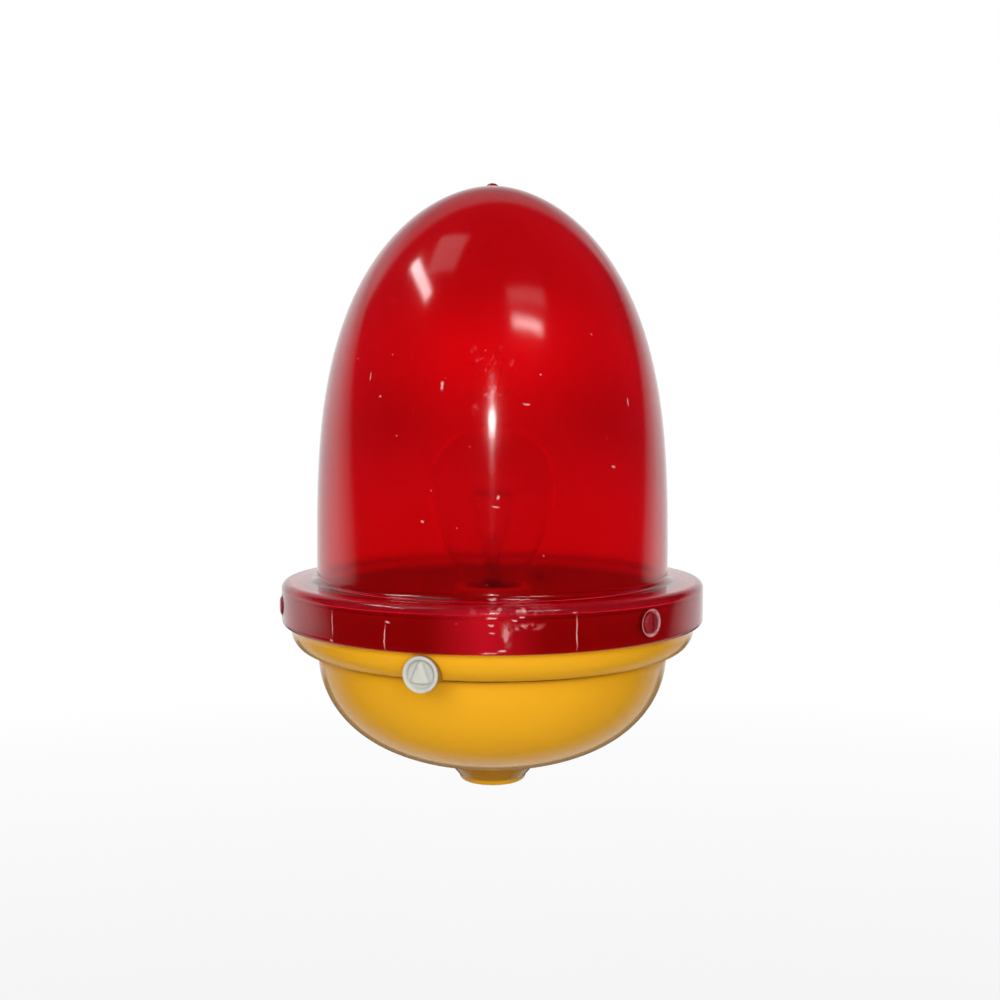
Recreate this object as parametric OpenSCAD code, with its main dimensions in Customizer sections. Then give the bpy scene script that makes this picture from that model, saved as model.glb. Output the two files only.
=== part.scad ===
// Aviation beacon lamp: a red domed lens on a hinged collar over a cast bowl that stands on a conduit.
// Millimetres, +Z up. The origin is the centre of the conduit entry's mouth, under the bowl.
// The latch faces -Y and the hinge is opposite, on +Y.

/* [Bowl] */
// Outside radius of the bowl at its rim
bowl_r = 83.2; // [82:0.2:84.4]
// Depth of the bowl from its rim to its underside
bowl_depth = 54; // [52:0.5:60]
// Fullness of the bowl's side, where 2 is an ellipse
bowl_full = 2.1; // [2:0.05:2.6]
// Fullness of the bowl's underside, where 2 is an ellipse
bowl_sharp = 2.45; // [2:0.05:2.6]
// Wall of the bowl
bowl_wall = 3.6; // [2.6:0.2:4.6]
// Height of the thick rim band inside the bowl
rim_h = 9; // [8:0.5:11]
// Width of the rim from its outside to its bore
rim_w = 7.4; // [6.8:0.2:8]

/* [Conduit entry] */
// Outside radius of the conduit boss at its foot
boss_r = 16; // [14:0.2:18]
// Spread of the boss from its foot up to its fillet
boss_taper = 4.6; // [0:0.2:6]
// Height of the boss below the bowl
boss_h = 9.8; // [8:0.2:14]
// Radius of the concave fillet between boss and bowl
boss_fillet = 3.4; // [2:0.2:5]
// Radius of the boss's bottom edge
boss_edge = 2.4; // [1:0.2:3]
// Bore for the conduit end
entry_r = 10; // [8:0.5:11]
// Depth of the conduit bore
entry_len = 15; // [12:0.5:16]
// Radius of the cable throat above the conduit's stop
throat_r = 8; // [6:0.5:9]

/* [Seam and hinge] */
// Gap at the seam between bowl and collar
seam_gap = 0.8; // [0.6:0.1:1.2]
// Width of the rim gasket
gasket_w = 2.4; // [2:0.1:3]
// Depth of the gasket's groove
groove_d = 2.2; // [1.6:0.1:2.6]
// Distance of the hinge axis outside the bowl
hinge_out = 10.3; // [9.6:0.1:11]
// Drop of the hinge axis below the bowl's rim
hinge_drop = 4.8; // [4.6:0.1:6]
// Radius of the hinge knuckles
knuckle_r = 4.6; // [4:0.1:4.8]
// Width of the collar's middle knuckle
lug_w = 16; // [12:1:20]
// Width of each of the bowl's ears
ear_w = 6; // [4:0.5:8]
// Radius of the hinge pin
hinge_pin_r = 2; // [1.5:0.1:2.5]

/* [Collar] */
// Step of the collar's foot outside the bowl's rim
foot_step = 1.4; // [0.8:0.2:2.8]
// Width of the collar's foot on the seam
foot_w = 5.2; // [4.6:0.2:6.2]
// Thickness of the collar's foot
foot_t = 4; // [3:0.2:5]
// Height of the quarter-round bead over the foot
bead_h = 11.2; // [10:0.2:12]
// Height of the collar from the seam to the lens seat
collar_h = 27.8; // [26:0.2:32]
// Wall of the collar's upright spigot inside the skirt
spigot_wall = 4; // [3:0.2:5]

/* [Lens] */
// Outside radius of the dome above the flange
lens_r = 83.4; // [80:0.2:86]
// Height of the dome above the flange
dome_h = 184.7; // [160:0.5:210]
// Fullness of the dome's side, where 2 is an ellipse
dome_full = 3.1; // [2.4:0.05:3.6]
// Sharpness of the dome's crown
dome_crown = 1.82; // [1.6:0.02:2.2]
// Wall of the dome
lens_wall = 3.2; // [2.4:0.2:4]
// Thickness of the flange
flange_t = 3.6; // [3:0.2:5]
// Radius of the fillet where dome meets flange
lens_fillet = 3.4; // [2:0.2:5]
// Outside radius of the skirt
skirt_r = 100; // [98.6:0.2:103]
// Height of the skirt with the flange
skirt_h = 20.2; // [19:0.2:20.8]
// Wall of the skirt
skirt_wall = 3.6; // [3:0.2:4.4]
// Radius of the skirt's top edge
skirt_top_edge = 3.4; // [2:0.2:3.6]
// Radius of the skirt's bottom edge
skirt_low_edge = 2.4; // [1:0.2:2.8]
// Radius of the moulding nub on the crown
nub_r = 3.2; // [2:0.2:5]
// Height of the moulding nub
nub_h = 1.8; // [1:0.2:3]
// Thickness of the lens gasket
lens_gasket_t = 2; // [1.4:0.2:3]

/* [Lens screws] */
// Number of lens screws, with one straight over the hinge
screw_count = 3; // [3:2:5]
// Depth of the screws' axis below the top of the flange
screw_drop = 10.7; // [9.8:0.1:11]
// Shank radius of the lens screws
screw_r = 2; // [1.6:0.1:2.4]
// Head radius of the lens screws
screw_head_r = 4.4; // [3.6:0.1:4.8]
// Head height of the lens screws
screw_head_h = 2.2; // [1.8:0.1:3]
// Depth of the counterbores in the skirt
counterbore_d = 1.2; // [0.6:0.1:1.6]

/* [Latch] */
// Height of the latch axis above the seam
latch_up = 4.8; // [4.4:0.1:5]
// Radius of the knob
knob_r = 7.75; // [6.5:0.05:7.9]
// Thickness of the knob
knob_t = 3; // [2.6:0.1:4]
// Width of the knob's raised rim
knob_rim_w = 1.3; // [0.8:0.1:2]
// Depth of the dish in the knob's face
knob_dish = 1.3; // [0.8:0.1:1.6]
// Height of the arrow grip above the rim
grip_proud = 0.3; // [0:0.1:1]
// Radius of the latch shaft
shaft_r = 2.5; // [2:0.1:2.6]
// Radius of the bush round the shaft
bush_r = 3.8; // [3.4:0.1:4.2]
// Thickness of the hook cam
cam_t = 3; // [2:0.2:3.6]
// Radius of the hook cam's arc slot, to the middle of the keeper
keeper_d = 12; // [11.4:0.1:12.6]
// Radius of the keeper pin
keeper_r = 2.2; // [1.8:0.1:2.4]
// Width of the hook's jaw outside the slot
jaw_w = 3; // [2:0.2:3.6]

/* [Lamp support] */
// Height of the bracket's underside
bracket_z = 46; // [44:0.5:48]
// Distance of the bracket's pillars from the axis
pillar_x = 50; // [46:0.5:54]
// Radius of the pillars
pillar_r = 5; // [4:0.2:6]
// Width of the lamp bracket
bracket_w = 26; // [22:0.5:30]
// Sheet thickness of the bracket
bracket_t = 2; // [1.4:0.1:2.6]
// Radius of the small machine screws' shanks
small_screw_r = 1.5; // [1.2:0.1:1.8]
// Height of the lampholder
holder_h = 46; // [44:0.5:50]
// Radius of the lampholder at its base
holder_r = 23; // [22:0.5:26]

/* [Lamp] */
// Radius of the lamp's glass
glass_r = 30; // [26:0.5:34]
// Length of the lamp from its contact to the top of the glass
lamp_len = 105; // [98:0.5:112]
// Radius of the lamp cap over its thread
cap_r = 13.2; // [12.4:0.1:13.4]
// Height of the lamp cap's shell
cap_h = 20; // [18:0.5:22]
// Pitch of the cap's thread
cap_pitch = 3.6; // [3:0.1:4.4]

/* [Wiring] */
// Length of the terminal block
block_l = 32; // [28:1:38]
// Depth of the terminal block from front to back
block_w = 14; // [12:0.5:16]
// Height of the terminal block
block_h = 13; // [11:0.5:15]
// Radius of the insulated leads
lead_r = 1.3; // [1:0.1:1.5]

/* [Fits] */
// Radial clearance of a pin, screw or shaft in its hole
fit = 0.05; // [0.02:0.01:0.1]
// Gap between the skirt and the collar's spigot
skirt_clear = 0.6; // [0.4:0.1:1]
// Clearance between parts that move past each other
run_clear = 0.3; // [0.2:0.05:0.5]

/* [Hidden] */
$fn = 72;

// Heights of the stack, from the mouth of the conduit entry
rim_z = boss_h + bowl_depth;
collar_z = rim_z + seam_gap;
seat_z = collar_z + collar_h;
flange_under_z = seat_z + lens_gasket_t;
flange_z = flange_under_z + flange_t;
skirt_z = flange_z - skirt_h;
screw_z = flange_z - screw_drop;
latch_z = collar_z + latch_up;
hinge_y = bowl_r + hinge_out;
hinge_z = rim_z - hinge_drop;

// Bowl and rim
rim_bore_r = bowl_r - rim_w;
rim_taper = 3;
groove_mid_r = bowl_r - rim_w / 2;
hub_r = boss_r;
boss_top_r = boss_r + boss_taper;
hub_z = entry_len + 3;
curve_steps = 26;
arc_steps = 8;

// Collar, whose foot follows the bowl and whose spigot follows the skirt
foot_r = bowl_r + foot_step;
collar_bore_r = foot_r - foot_w;
collar_r = skirt_r - skirt_wall - skirt_clear;
bead_z = collar_z + bead_h;
lug_top_z = collar_z + bead_h * 0.8;
tap_boss_r = 4.6;
tap_depth = 6;
latch_face_y = collar_r + 1;
latch_boss_r = 7;
latch_pad = 1.9;

// Latch train along -Y, from the knob inward
knob_back_y = latch_face_y + run_clear / 2;
bush_flange_t = 1.5;
bush_end_y = collar_bore_r - latch_pad - bush_flange_t;
cam_reach = keeper_d + keeper_r + run_clear + jaw_w;
cam_front_y = sqrt(pow(rim_bore_r, 2) - pow(cam_reach, 2)) - 1;
cam_back_y = cam_front_y - cam_t;
nut_t = 3;
tang_w = shaft_r * 1.36;
stud_r = 1.6;
keeper_z = latch_z - keeper_d;
cam_mouth = 66;
cam_heel = 16;
cam_hub_r = 6;

// Lampholder and lamp
bracket_top_z = bracket_z + bracket_t;
flute_h = 6;
holder_top_z = bracket_top_z + holder_h;
holder_floor_z = bracket_top_z + 16;
shell_t = 0.8;
shell_lip = 4;
shell_drop = 3;
thread_clear = 0.45;
shell_r = cap_r + thread_clear + shell_t;
cavity_r = shell_r + run_clear;
contact_leaf_t = 0.8;
contact_z = holder_floor_z + 2.6;
lamp_z = contact_z + run_clear;
pip_h = 2;
insulator_h = 3.2;
cap_z = lamp_z + pip_h + insulator_h;
cap_top_z = cap_z + cap_h;
cap_t = 0.5;
thread_depth = 0.5;
glass_t = 0.8;
neck_r = cap_r - thread_depth - cap_t - 0.2;
neck_z = cap_top_z - 8;
globe_z = lamp_z + lamp_len - glass_r;
stem_h = 34;
stem_z = neck_z + stem_h;
stem_r = 2.4;
stem_flare_h = 16;
wire_knee = 12;
wire_foot = 8;
filament_z = globe_z - 4;
filament_half = 10;
lead_in_r = 0.45;
holder_wire_x = 9;
holder_screw_x = 18;
holder_screw_bite = 6;
holder_screw_head_r = 2.8;
holder_screw_head_h = 2;
holder_wire_d = 8;
bracket_screw_bite = 10;
bracket_screw_head_h = 2.4;

// Wiring
block_y = 38;
pad_z = 26;
block_hole_z = pad_z + 5;
block_pitch = block_l / 3;
earth_y = 42;
earth_pad_z = 29;
lead_hole_r = lead_r + 0.4;

// Cubic curve through two handles
function bez(p0, p1, p2, p3, n) = [for (i = [0:n]) let (t = i / n, u = 1 - t)
    u * u * u * p0 + 3 * u * u * t * p1 + 3 * u * t * t * p2 + t * t * t * p3];

// Arc about a centre, from one angle to another
function arc(c, r, a0, a1, n) = oval(c, [r, r], a0, a1, n);

// Arc of an ellipse with half axes r
function oval(c, r, a0, a1, n) = [for (i = [0:n]) let (a = a0 + (a1 - a0) * i / n)
    c + [r.x * cos(a), r.y * sin(a)]];

// Points of a bowl curve of radius r and depth d below the rim, from angle a0 to a1
function bowl_curve(r, d, a0, a1, n) = [for (i = [0:n]) let (a = a0 + (a1 - a0) * i / n)
    [r * pow(max(0, 1 - pow(sin(a), bowl_full)), 1 / bowl_sharp), rim_z - d * sin(a)]];

// Angle at which the bowl curve of radius r passes radius x
function bowl_angle(r, x) = asin(pow(1 - pow(x / r, bowl_sharp), 1 / bowl_full));

// Points of a dome curve of radius r and height h above the flange
function dome_curve(r, h, a0, a1, n) = [for (i = [0:n]) let (a = a0 + (a1 - a0) * i / n)
    [r * pow(max(0, 1 - pow(sin(a), dome_full)), 1 / dome_crown), flange_z + h * sin(a)]];

// Angle at which the dome curve of radius r passes radius x
function dome_angle(r, x) = asin(pow(1 - pow(x / r, dome_crown), 1 / dome_full));

function unit(v) = v / norm(v);

// Ring of an insulated lead about point i of its route
function lead_ring(path, i, r, ref, sides) = let (
    t = unit(path[min(i + 1, len(path) - 1)] - path[max(i - 1, 0)]),
    u = unit(cross(ref, t)),
    v = cross(t, u)
) [for (k = [0:sides - 1]) path[i] + r * (cos(k * 360 / sides) * u + sin(k * 360 / sides) * v)];

// Tube swept along a route
module tube(path, r, ref, sides = 8) {
    n = len(path);
    points = [for (i = [0:n - 1]) each lead_ring(path, i, r, ref, sides)];
    walls = [for (i = [0:n - 2], k = [0:sides - 1]) let (
        a = i * sides + k,
        b = i * sides + (k + 1) % sides
    ) each [[a, a + sides, b], [b, a + sides, b + sides]]];
    first = [for (k = [1:sides - 2]) [0, k, k + 1]];
    last = [for (k = [1:sides - 2]) let (o = (n - 1) * sides) [o, o + k + 1, o + k]];
    polyhedron(points, concat(walls, first, last));
}

// Child turned so that its Z points along -Y, at height z
module along_latch(z = latch_z) {
    translate([0, 0, z]) rotate([90, 0, 0]) children();
}

// Child repeated at each lens screw, with its Z pointing outward
module at_lens_screws() {
    for (i = [0:screw_count - 1])
        rotate([0, 0, 90 + i * 360 / screw_count]) translate([0, 0, screw_z]) rotate([0, 90, 0]) children();
}

// Ring between two radii
module ring(r_out, r_in, h) {
    difference() {
        cylinder(r = r_out, h = h);
        translate([0, 0, -1]) cylinder(r = r_in, h = h + 2);
    }
}

// Domed screw with its head's seat at z = 0
module screw(r, head_r, head_h, length) {
    crown = head_h * 0.55;
    rotate_extrude() polygon(concat(
        [[0, -length], [r, -length], [r, 0], [head_r, 0], [head_r, head_h - crown]],
        [for (i = [1:5]) let (a = i * 18) [head_r * cos(a), head_h - crown + crown * sin(a)]]
    ));
}

// Section of the bowl from the rim down to the boss and up again inside
function bowl_outer() = let (
    a1 = bowl_angle(bowl_r, boss_top_r + boss_fillet),
    z1 = rim_z - bowl_depth * sin(a1)
) concat(
    bowl_curve(bowl_r, bowl_depth, 0, a1, curve_steps),
    arc([boss_top_r + boss_fillet, z1 - boss_fillet], boss_fillet, 100, 180, arc_steps),
    arc([boss_r - boss_edge, boss_edge], boss_edge, 0, -90, arc_steps)
);
function bowl_inner() = let (
    r = bowl_r - bowl_wall,
    d = bowl_depth - bowl_wall,
    a2 = bowl_angle(r, hub_r),
    a3 = asin((rim_h + rim_taper) / d)
) concat(
    [[entry_r, 0], [entry_r, entry_len], [throat_r, entry_len]],
    [[throat_r, hub_z], [hub_r, hub_z]],
    bowl_curve(r, d, a2, a3, curve_steps),
    [[rim_bore_r, rim_z - rim_h], [rim_bore_r, rim_z]],
    [[groove_mid_r - gasket_w / 2 - fit, rim_z], [groove_mid_r - gasket_w / 2 - fit, rim_z - groove_d]],
    [[groove_mid_r + gasket_w / 2 + fit, rim_z - groove_d], [groove_mid_r + gasket_w / 2 + fit, rim_z]]
);

// Pillars and pads that stand on the floor of the bowl
module bowl_posts() {
    for (s = [-1, 1]) translate([s * pillar_x, 0, 0]) cylinder(r = pillar_r, h = bracket_z);
    translate([0, block_y, pad_z / 2]) cube([block_l, block_w, pad_z], center = true);
    translate([0, -earth_y, 0]) cylinder(r = pillar_r + 1, h = earth_pad_z);
}

// One of the bowl's hinge ears, seen from the side
module ear_outline() {
    translate([hinge_y, hinge_z]) circle(knuckle_r);
    polygon([
        [bowl_r - rim_w / 2, hinge_z - 13],
        [hinge_y, hinge_z - knuckle_r],
        [hinge_y, hinge_z + knuckle_r],
        [bowl_r - rim_w / 2, hinge_z + 2.6]
    ]);
}

// The collar's middle knuckle, seen from the side
module lug_outline() {
    translate([hinge_y, hinge_z]) circle(knuckle_r);
    polygon([
        [hinge_y - knuckle_r, hinge_z],
        [hinge_y + knuckle_r, hinge_z],
        [collar_r - 0.4, lug_top_z],
        [min(hinge_y - knuckle_r, collar_r - spigot_wall), lug_top_z]
    ]);
}

// Child outline in the YZ plane, made w wide from x
module across(x, w) {
    translate([x, 0, 0]) rotate([90, 0, 90]) linear_extrude(w) children();
}

module base_bowl() {
    ear_x = lug_w / 2 + run_clear;
    color("goldenrod") difference() {
        union() {
            rotate_extrude() polygon(concat(bowl_outer(), bowl_inner()));
            intersection() {
                bowl_posts();
                rotate_extrude() polygon(concat(
                    bowl_curve(bowl_r - bowl_wall / 2, bowl_depth - bowl_wall / 2, 0, 90, curve_steps),
                    [[0, rim_z]]
                ));
            }
            across(ear_x, ear_w) ear_outline();
            across(-ear_x - ear_w, ear_w) ear_outline();
        }
        translate([-ear_x - ear_w - 1, hinge_y, hinge_z])
            rotate([0, 90, 0]) cylinder(r = hinge_pin_r + fit, h = 2 * (ear_x + ear_w + 1));
        translate([0, -rim_bore_r + 1, 0]) along_latch(keeper_z) cylinder(r = keeper_r + fit, h = 5);
        for (s = [-1, 1])
            translate([s * pillar_x, 0, bracket_z - bracket_screw_bite - 2])
                cylinder(r = screw_r + fit, h = bracket_screw_bite + 3);
        for (s = [-1, 1])
            translate([s * block_pitch / 2, block_y, pad_z - 6]) cylinder(r = small_screw_r + fit, h = 7);
        translate([0, -earth_y, earth_pad_z - 8]) cylinder(r = screw_r + fit, h = 9);
    }
}

module rim_gasket() {
    color("dimgray") translate([0, 0, rim_z - groove_d])
        ring(groove_mid_r + gasket_w / 2, groove_mid_r - gasket_w / 2, groove_d + seam_gap - fit);
}

module keeper_pin() {
    inner_y = cam_back_y - 0.8;
    color("silver") translate([0, -inner_y, 0]) along_latch(keeper_z)
        cylinder(r = keeper_r, h = rim_bore_r + 3.8 - inner_y);
}

module hinge_pin() {
    half = lug_w / 2 + run_clear + ear_w + 2;
    color("silver") translate([-half, hinge_y, hinge_z])
        rotate([0, 90, 0]) cylinder(r = hinge_pin_r, h = 2 * half);
}

module hinge_clips() {
    x = lug_w / 2 + run_clear + ear_w + 0.2;
    color("dimgray") for (s = [-1, 1])
        translate([s * x, hinge_y, hinge_z]) rotate([0, s * 90, 0])
            ring(hinge_pin_r + 1.6, hinge_pin_r + fit, 0.9);
}

module lamp_bracket() {
    length = 2 * (pillar_x + pillar_r);
    color("lightgray") difference() {
        union() {
            translate([0, 0, bracket_z + bracket_t / 2]) cube([length, bracket_w, bracket_t], center = true);
            for (s = [-1, 1])
                translate([0, s * (bracket_w - bracket_t) / 2, bracket_z - flute_h / 2 + bracket_t / 2])
                    cube([length - 4 * pillar_r - 4, bracket_t, flute_h + bracket_t], center = true);
        }
        for (s = [-1, 1]) {
            translate([s * pillar_x, 0, bracket_z - 1]) cylinder(r = screw_r + 0.2, h = bracket_t + 2);
            translate([s * holder_screw_x, 0, bracket_z - 1])
                cylinder(r = small_screw_r + 0.2, h = bracket_t + 2);
            translate([s * holder_wire_x, 0, bracket_z - 1]) cylinder(r = lead_hole_r + 1, h = bracket_t + 2);
        }
    }
}

module bracket_screws() {
    color("silver") for (s = [-1, 1])
        translate([s * pillar_x, 0, bracket_top_z])
            screw(screw_r, pillar_r * 0.72, bracket_screw_head_h, bracket_t + bracket_screw_bite);
}

module holder_body() {
    lip = 2;
    color("white") difference() {
        rotate_extrude() polygon(concat(
            [[0, bracket_top_z], [holder_r, bracket_top_z], [holder_r, bracket_top_z + 7]],
            [[holder_r - 2, bracket_top_z + 9]],
            arc([cavity_r + 4 - lip, holder_top_z - lip], lip, 0, 90, arc_steps),
            [[cavity_r, holder_top_z], [cavity_r, holder_floor_z], [0, holder_floor_z]]
        ));
        for (s = [-1, 1]) {
            translate([s * holder_wire_x, 0, bracket_top_z - 1]) cylinder(r = lead_hole_r, h = holder_wire_d + 1);
            translate([s * holder_screw_x, 0, bracket_top_z - 1])
                cylinder(r = small_screw_r + fit, h = holder_screw_bite + 2);
        }
    }
}

module holder_shell() {
    color("goldenrod") rotate_extrude() polygon([
        [shell_r - shell_lip, holder_floor_z], [shell_r, holder_floor_z],
        [shell_r, holder_top_z - shell_drop], [shell_r - shell_t, holder_top_z - shell_drop],
        [shell_r - shell_t, holder_floor_z + shell_t], [shell_r - shell_lip, holder_floor_z + shell_t]
    ]);
}

module holder_contact() {
    leaf_r = shell_r - 6;
    color("peru") union() {
        translate([0, 0, holder_floor_z + contact_leaf_t / 2])
            cube([2 * leaf_r, 6, contact_leaf_t], center = true);
        translate([0, 0, holder_floor_z]) cylinder(r = 3, h = contact_z - holder_floor_z);
    }
}

module holder_screws() {
    color("silver") for (s = [-1, 1])
        translate([s * holder_screw_x, 0, bracket_z])
            rotate([180, 0, 0])
                screw(small_screw_r, holder_screw_head_r, holder_screw_head_h, bracket_t + holder_screw_bite);
}

module terminal_block() {
    color("ivory") difference() {
        translate([0, block_y, pad_z + block_h / 2]) cube([block_l, block_w, block_h], center = true);
        for (i = [-1:1]) {
            translate([i * block_pitch, block_y + block_w, block_hole_z])
                rotate([90, 0, 0]) cylinder(r = lead_hole_r, h = 2 * block_w);
            for (s = [-1, 1])
                translate([i * block_pitch, block_y + s * block_w / 4, block_hole_z])
                    cylinder(r = small_screw_r + 0.3, h = block_h);
        }
        for (s = [-1, 1])
            translate([s * block_pitch / 2, block_y, pad_z - 1])
                cylinder(r = small_screw_r + 0.2, h = block_h + 2);
    }
}

module terminal_screws() {
    top = pad_z + block_h - 2;
    foot = block_hole_z + lead_r + fit;
    color("goldenrod") for (i = [-1:1], s = [-1, 1])
        translate([i * block_pitch, block_y + s * block_w / 4, foot])
            cylinder(r = small_screw_r, h = top - foot);
}

module block_screws() {
    color("silver") for (s = [-1, 1])
        translate([s * block_pitch / 2, block_y, pad_z + block_h])
            screw(small_screw_r, small_screw_r + 1, 1.6, block_h + 5);
}

module earth_screw() {
    color("goldenrod") translate([0, -earth_y, earth_pad_z]) screw(screw_r, pillar_r - 0.6, 2.4, 7);
}

// Leads inside the bowl, from the terminal block to the lampholder and to the earth screw
lamp_lead_rise = 12;
function lamp_lead(s) = concat(
    [[s * block_pitch, block_y + 4, block_hole_z]],
    bez([s * block_pitch, block_y - block_w / 2, block_hole_z], [s * block_pitch, 16, block_hole_z],
        [s * holder_wire_x, 0, block_hole_z - 4], [s * holder_wire_x, 0, bracket_z - 4], 14),
    [[s * holder_wire_x, 0, bracket_z + lamp_lead_rise - 4]]
);
earth_end_y = earth_y - pillar_r - 1;
earth_end_z = earth_pad_z + 2 * lead_r;
earth_sag = 9;
earth_route = concat(
    [[0, block_y + 4, block_hole_z]],
    bez([0, block_y - block_w / 2, block_hole_z], [0, 8, block_hole_z - earth_sag],
        [0, -14, earth_end_z - earth_sag], [0, -earth_end_y + 4, earth_end_z], 16),
    [[0, -earth_end_y - 1, earth_end_z]]
);

module live_lead() {
    color("saddlebrown") tube(lamp_lead(-1), lead_r, [1, 0, 0]);
}

module neutral_lead() {
    color("royalblue") tube(lamp_lead(1), lead_r, [1, 0, 0]);
}

module earth_lead() {
    color("yellowgreen") tube(earth_route, lead_r, [1, 0, 0]);
}

// Section of the collar: foot, quarter-round bead and spigot, then the hollow inside
function collar_section() = let (
    spigot_in = collar_r - spigot_wall
) concat(
    [[collar_bore_r, collar_z]],
    oval([foot_r, bead_z], [collar_r - foot_r, bead_h], -90, 0, 2 * arc_steps),
    [[collar_r, seat_z], [spigot_in, seat_z]],
    oval([collar_bore_r, bead_z], [spigot_in - collar_bore_r, bead_h - foot_t], 0, -90, 2 * arc_steps)
);

module collar_ring() {
    color("goldenrod") difference() {
        union() {
            rotate_extrude() polygon(collar_section());
            intersection() {
                translate([0, -collar_bore_r + latch_pad, 0]) along_latch()
                    cylinder(r = latch_boss_r, h = latch_face_y - collar_bore_r + latch_pad);
                translate([-latch_boss_r, -2 * collar_r, collar_z])
                    cube([2 * latch_boss_r, 2 * collar_r, 2 * latch_boss_r]);
            }
            at_lens_screws() translate([0, 0, collar_r - spigot_wall - tap_depth + 1])
                cylinder(r = tap_boss_r, h = tap_depth);
            across(-lug_w / 2, lug_w) lug_outline();
        }
        at_lens_screws() translate([0, 0, collar_r - spigot_wall - tap_depth])
            cylinder(r = screw_r + fit, h = 2 * tap_depth + spigot_wall);
        translate([0, -collar_bore_r + latch_pad + 1, 0]) along_latch()
            cylinder(r = bush_r + fit, h = latch_face_y);
        translate([-lug_w, hinge_y, hinge_z])
            rotate([0, 90, 0]) cylinder(r = hinge_pin_r + fit, h = 2 * lug_w);
    }
}

module lens_gasket() {
    color("dimgray") translate([0, 0, seat_z]) ring(collar_r, collar_r - spigot_wall, lens_gasket_t);
}

// Section of the lens: skirt, flange, dome and nub, then back down inside
function lens_section() = let (
    skirt_in = skirt_r - skirt_wall,
    a0 = asin(lens_fillet / dome_h),
    a1 = dome_angle(lens_r, nub_r),
    nub_z = flange_z + dome_h * sin(a1) + nub_h - nub_r * 0.5
) concat(
    [[skirt_in, skirt_z]],
    arc([skirt_r - skirt_low_edge, skirt_z + skirt_low_edge], skirt_low_edge, -90, 0, arc_steps),
    arc([skirt_r - skirt_top_edge, flange_z - skirt_top_edge], skirt_top_edge, 0, 90, arc_steps),
    arc([lens_r + lens_fillet, flange_z + lens_fillet], lens_fillet, -90, -180, arc_steps),
    dome_curve(lens_r, dome_h, 2 * a0, a1, curve_steps + 4),
    oval([0, nub_z], [nub_r, nub_r / 2], 0, 90, arc_steps / 2),
    dome_curve(lens_r - lens_wall, dome_h - lens_wall, 90, 0, curve_steps),
    [[lens_r - lens_wall, flange_under_z], [skirt_in, flange_under_z]]
);

module lens_dome() {
    color("firebrick") difference() {
        rotate_extrude() polygon(lens_section());
        at_lens_screws() translate([0, 0, skirt_r - skirt_wall - 3]) cylinder(r = screw_r + 0.3, h = 10);
        at_lens_screws() translate([0, 0, skirt_r - counterbore_d]) cylinder(r = screw_head_r + 0.6, h = 10);
    }
}

module lens_screws() {
    color("dimgray") at_lens_screws() translate([0, 0, skirt_r - counterbore_d])
        screw(screw_r, screw_head_r, screw_head_h, skirt_wall + spigot_wall + tap_depth);
}

module latch_bush() {
    color("goldenrod") difference() {
        union() {
            translate([0, -bush_end_y, 0]) along_latch() cylinder(r = bush_r, h = latch_face_y - bush_end_y);
            translate([0, -bush_end_y, 0]) along_latch() cylinder(r = latch_up, h = bush_flange_t);
        }
        translate([0, -bush_end_y + 1, 0]) along_latch() cylinder(r = shaft_r + fit, h = latch_face_y);
    }
}

// Arrow grip of the knob, pointing up when the latch is released
module grip_outline() {
    reach = knob_r - knob_rim_w - 0.6;
    polygon([[0, reach], [reach * 0.78, -reach * 0.5], [0, -reach * 0.72], [-reach * 0.78, -reach * 0.5]]);
}

module latch_knob() {
    edge = 0.5;
    dish_r = knob_r - knob_rim_w;
    color("ivory") translate([0, -knob_back_y, 0]) along_latch() difference() {
        union() {
            rotate_extrude() polygon([
                [0, 0], [knob_r - edge, 0], [knob_r, edge], [knob_r, knob_t - edge], [knob_r - edge, knob_t],
                [dish_r + edge, knob_t], [dish_r, knob_t - knob_dish], [0, knob_t - knob_dish]
            ]);
            translate([0, 0, knob_t - knob_dish - 0.2])
                linear_extrude(knob_dish + 0.2 + grip_proud) grip_outline();
        }
        translate([0, 0, -1]) cylinder(r = shaft_r + fit, h = knob_t - knob_dish);
    }
}

module latch_shaft() {
    socket = knob_t - knob_dish - 1 - fit;
    color("silver") union() {
        translate([0, -cam_front_y, 0]) along_latch()
            cylinder(r = shaft_r, h = knob_back_y + socket - cam_front_y);
        translate([-tang_w / 2, -cam_front_y - 0.2, latch_z - tang_w / 2])
            cube([tang_w, cam_t + 0.2, tang_w]);
        translate([0, -cam_back_y + nut_t + 1, 0]) along_latch() cylinder(r = stud_r, h = nut_t + 1.4);
    }
}

module latch_spring() {
    t = 1;
    color("silver") translate([0, -cam_front_y, 0]) along_latch() rotate_extrude() polygon([
        [shaft_r + fit, 0], [shaft_r + fit + t, 0],
        [latch_up - 0.2, bush_end_y - cam_front_y - fit], [latch_up - 0.2 - t, bush_end_y - cam_front_y - fit]
    ]);
}

// Hook cam seen from the front, released: its arc slot takes the keeper as the knob turns clockwise
module cam_outline() {
    far = 2 * cam_reach;
    slot = keeper_r + run_clear;
    difference() {
        union() {
            circle(cam_hub_r);
            intersection() {
                circle(cam_reach);
                polygon([[0, 0], far * [cos(cam_mouth), -sin(cam_mouth)], [far, -far / 2],
                    far * [cos(cam_heel), sin(cam_heel)]]);
            }
        }
        difference() {
            intersection() {
                circle(keeper_d + slot);
                polygon([[0, 0], [0, -far], [far, -far], [far, 0]]);
            }
            circle(keeper_d - slot);
        }
        translate([keeper_d, 0]) circle(slot);
        square(tang_w + 2 * fit, center = true);
    }
}

module latch_cam() {
    color("silver") translate([0, -cam_back_y, 0]) along_latch() linear_extrude(cam_t) cam_outline();
}

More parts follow.
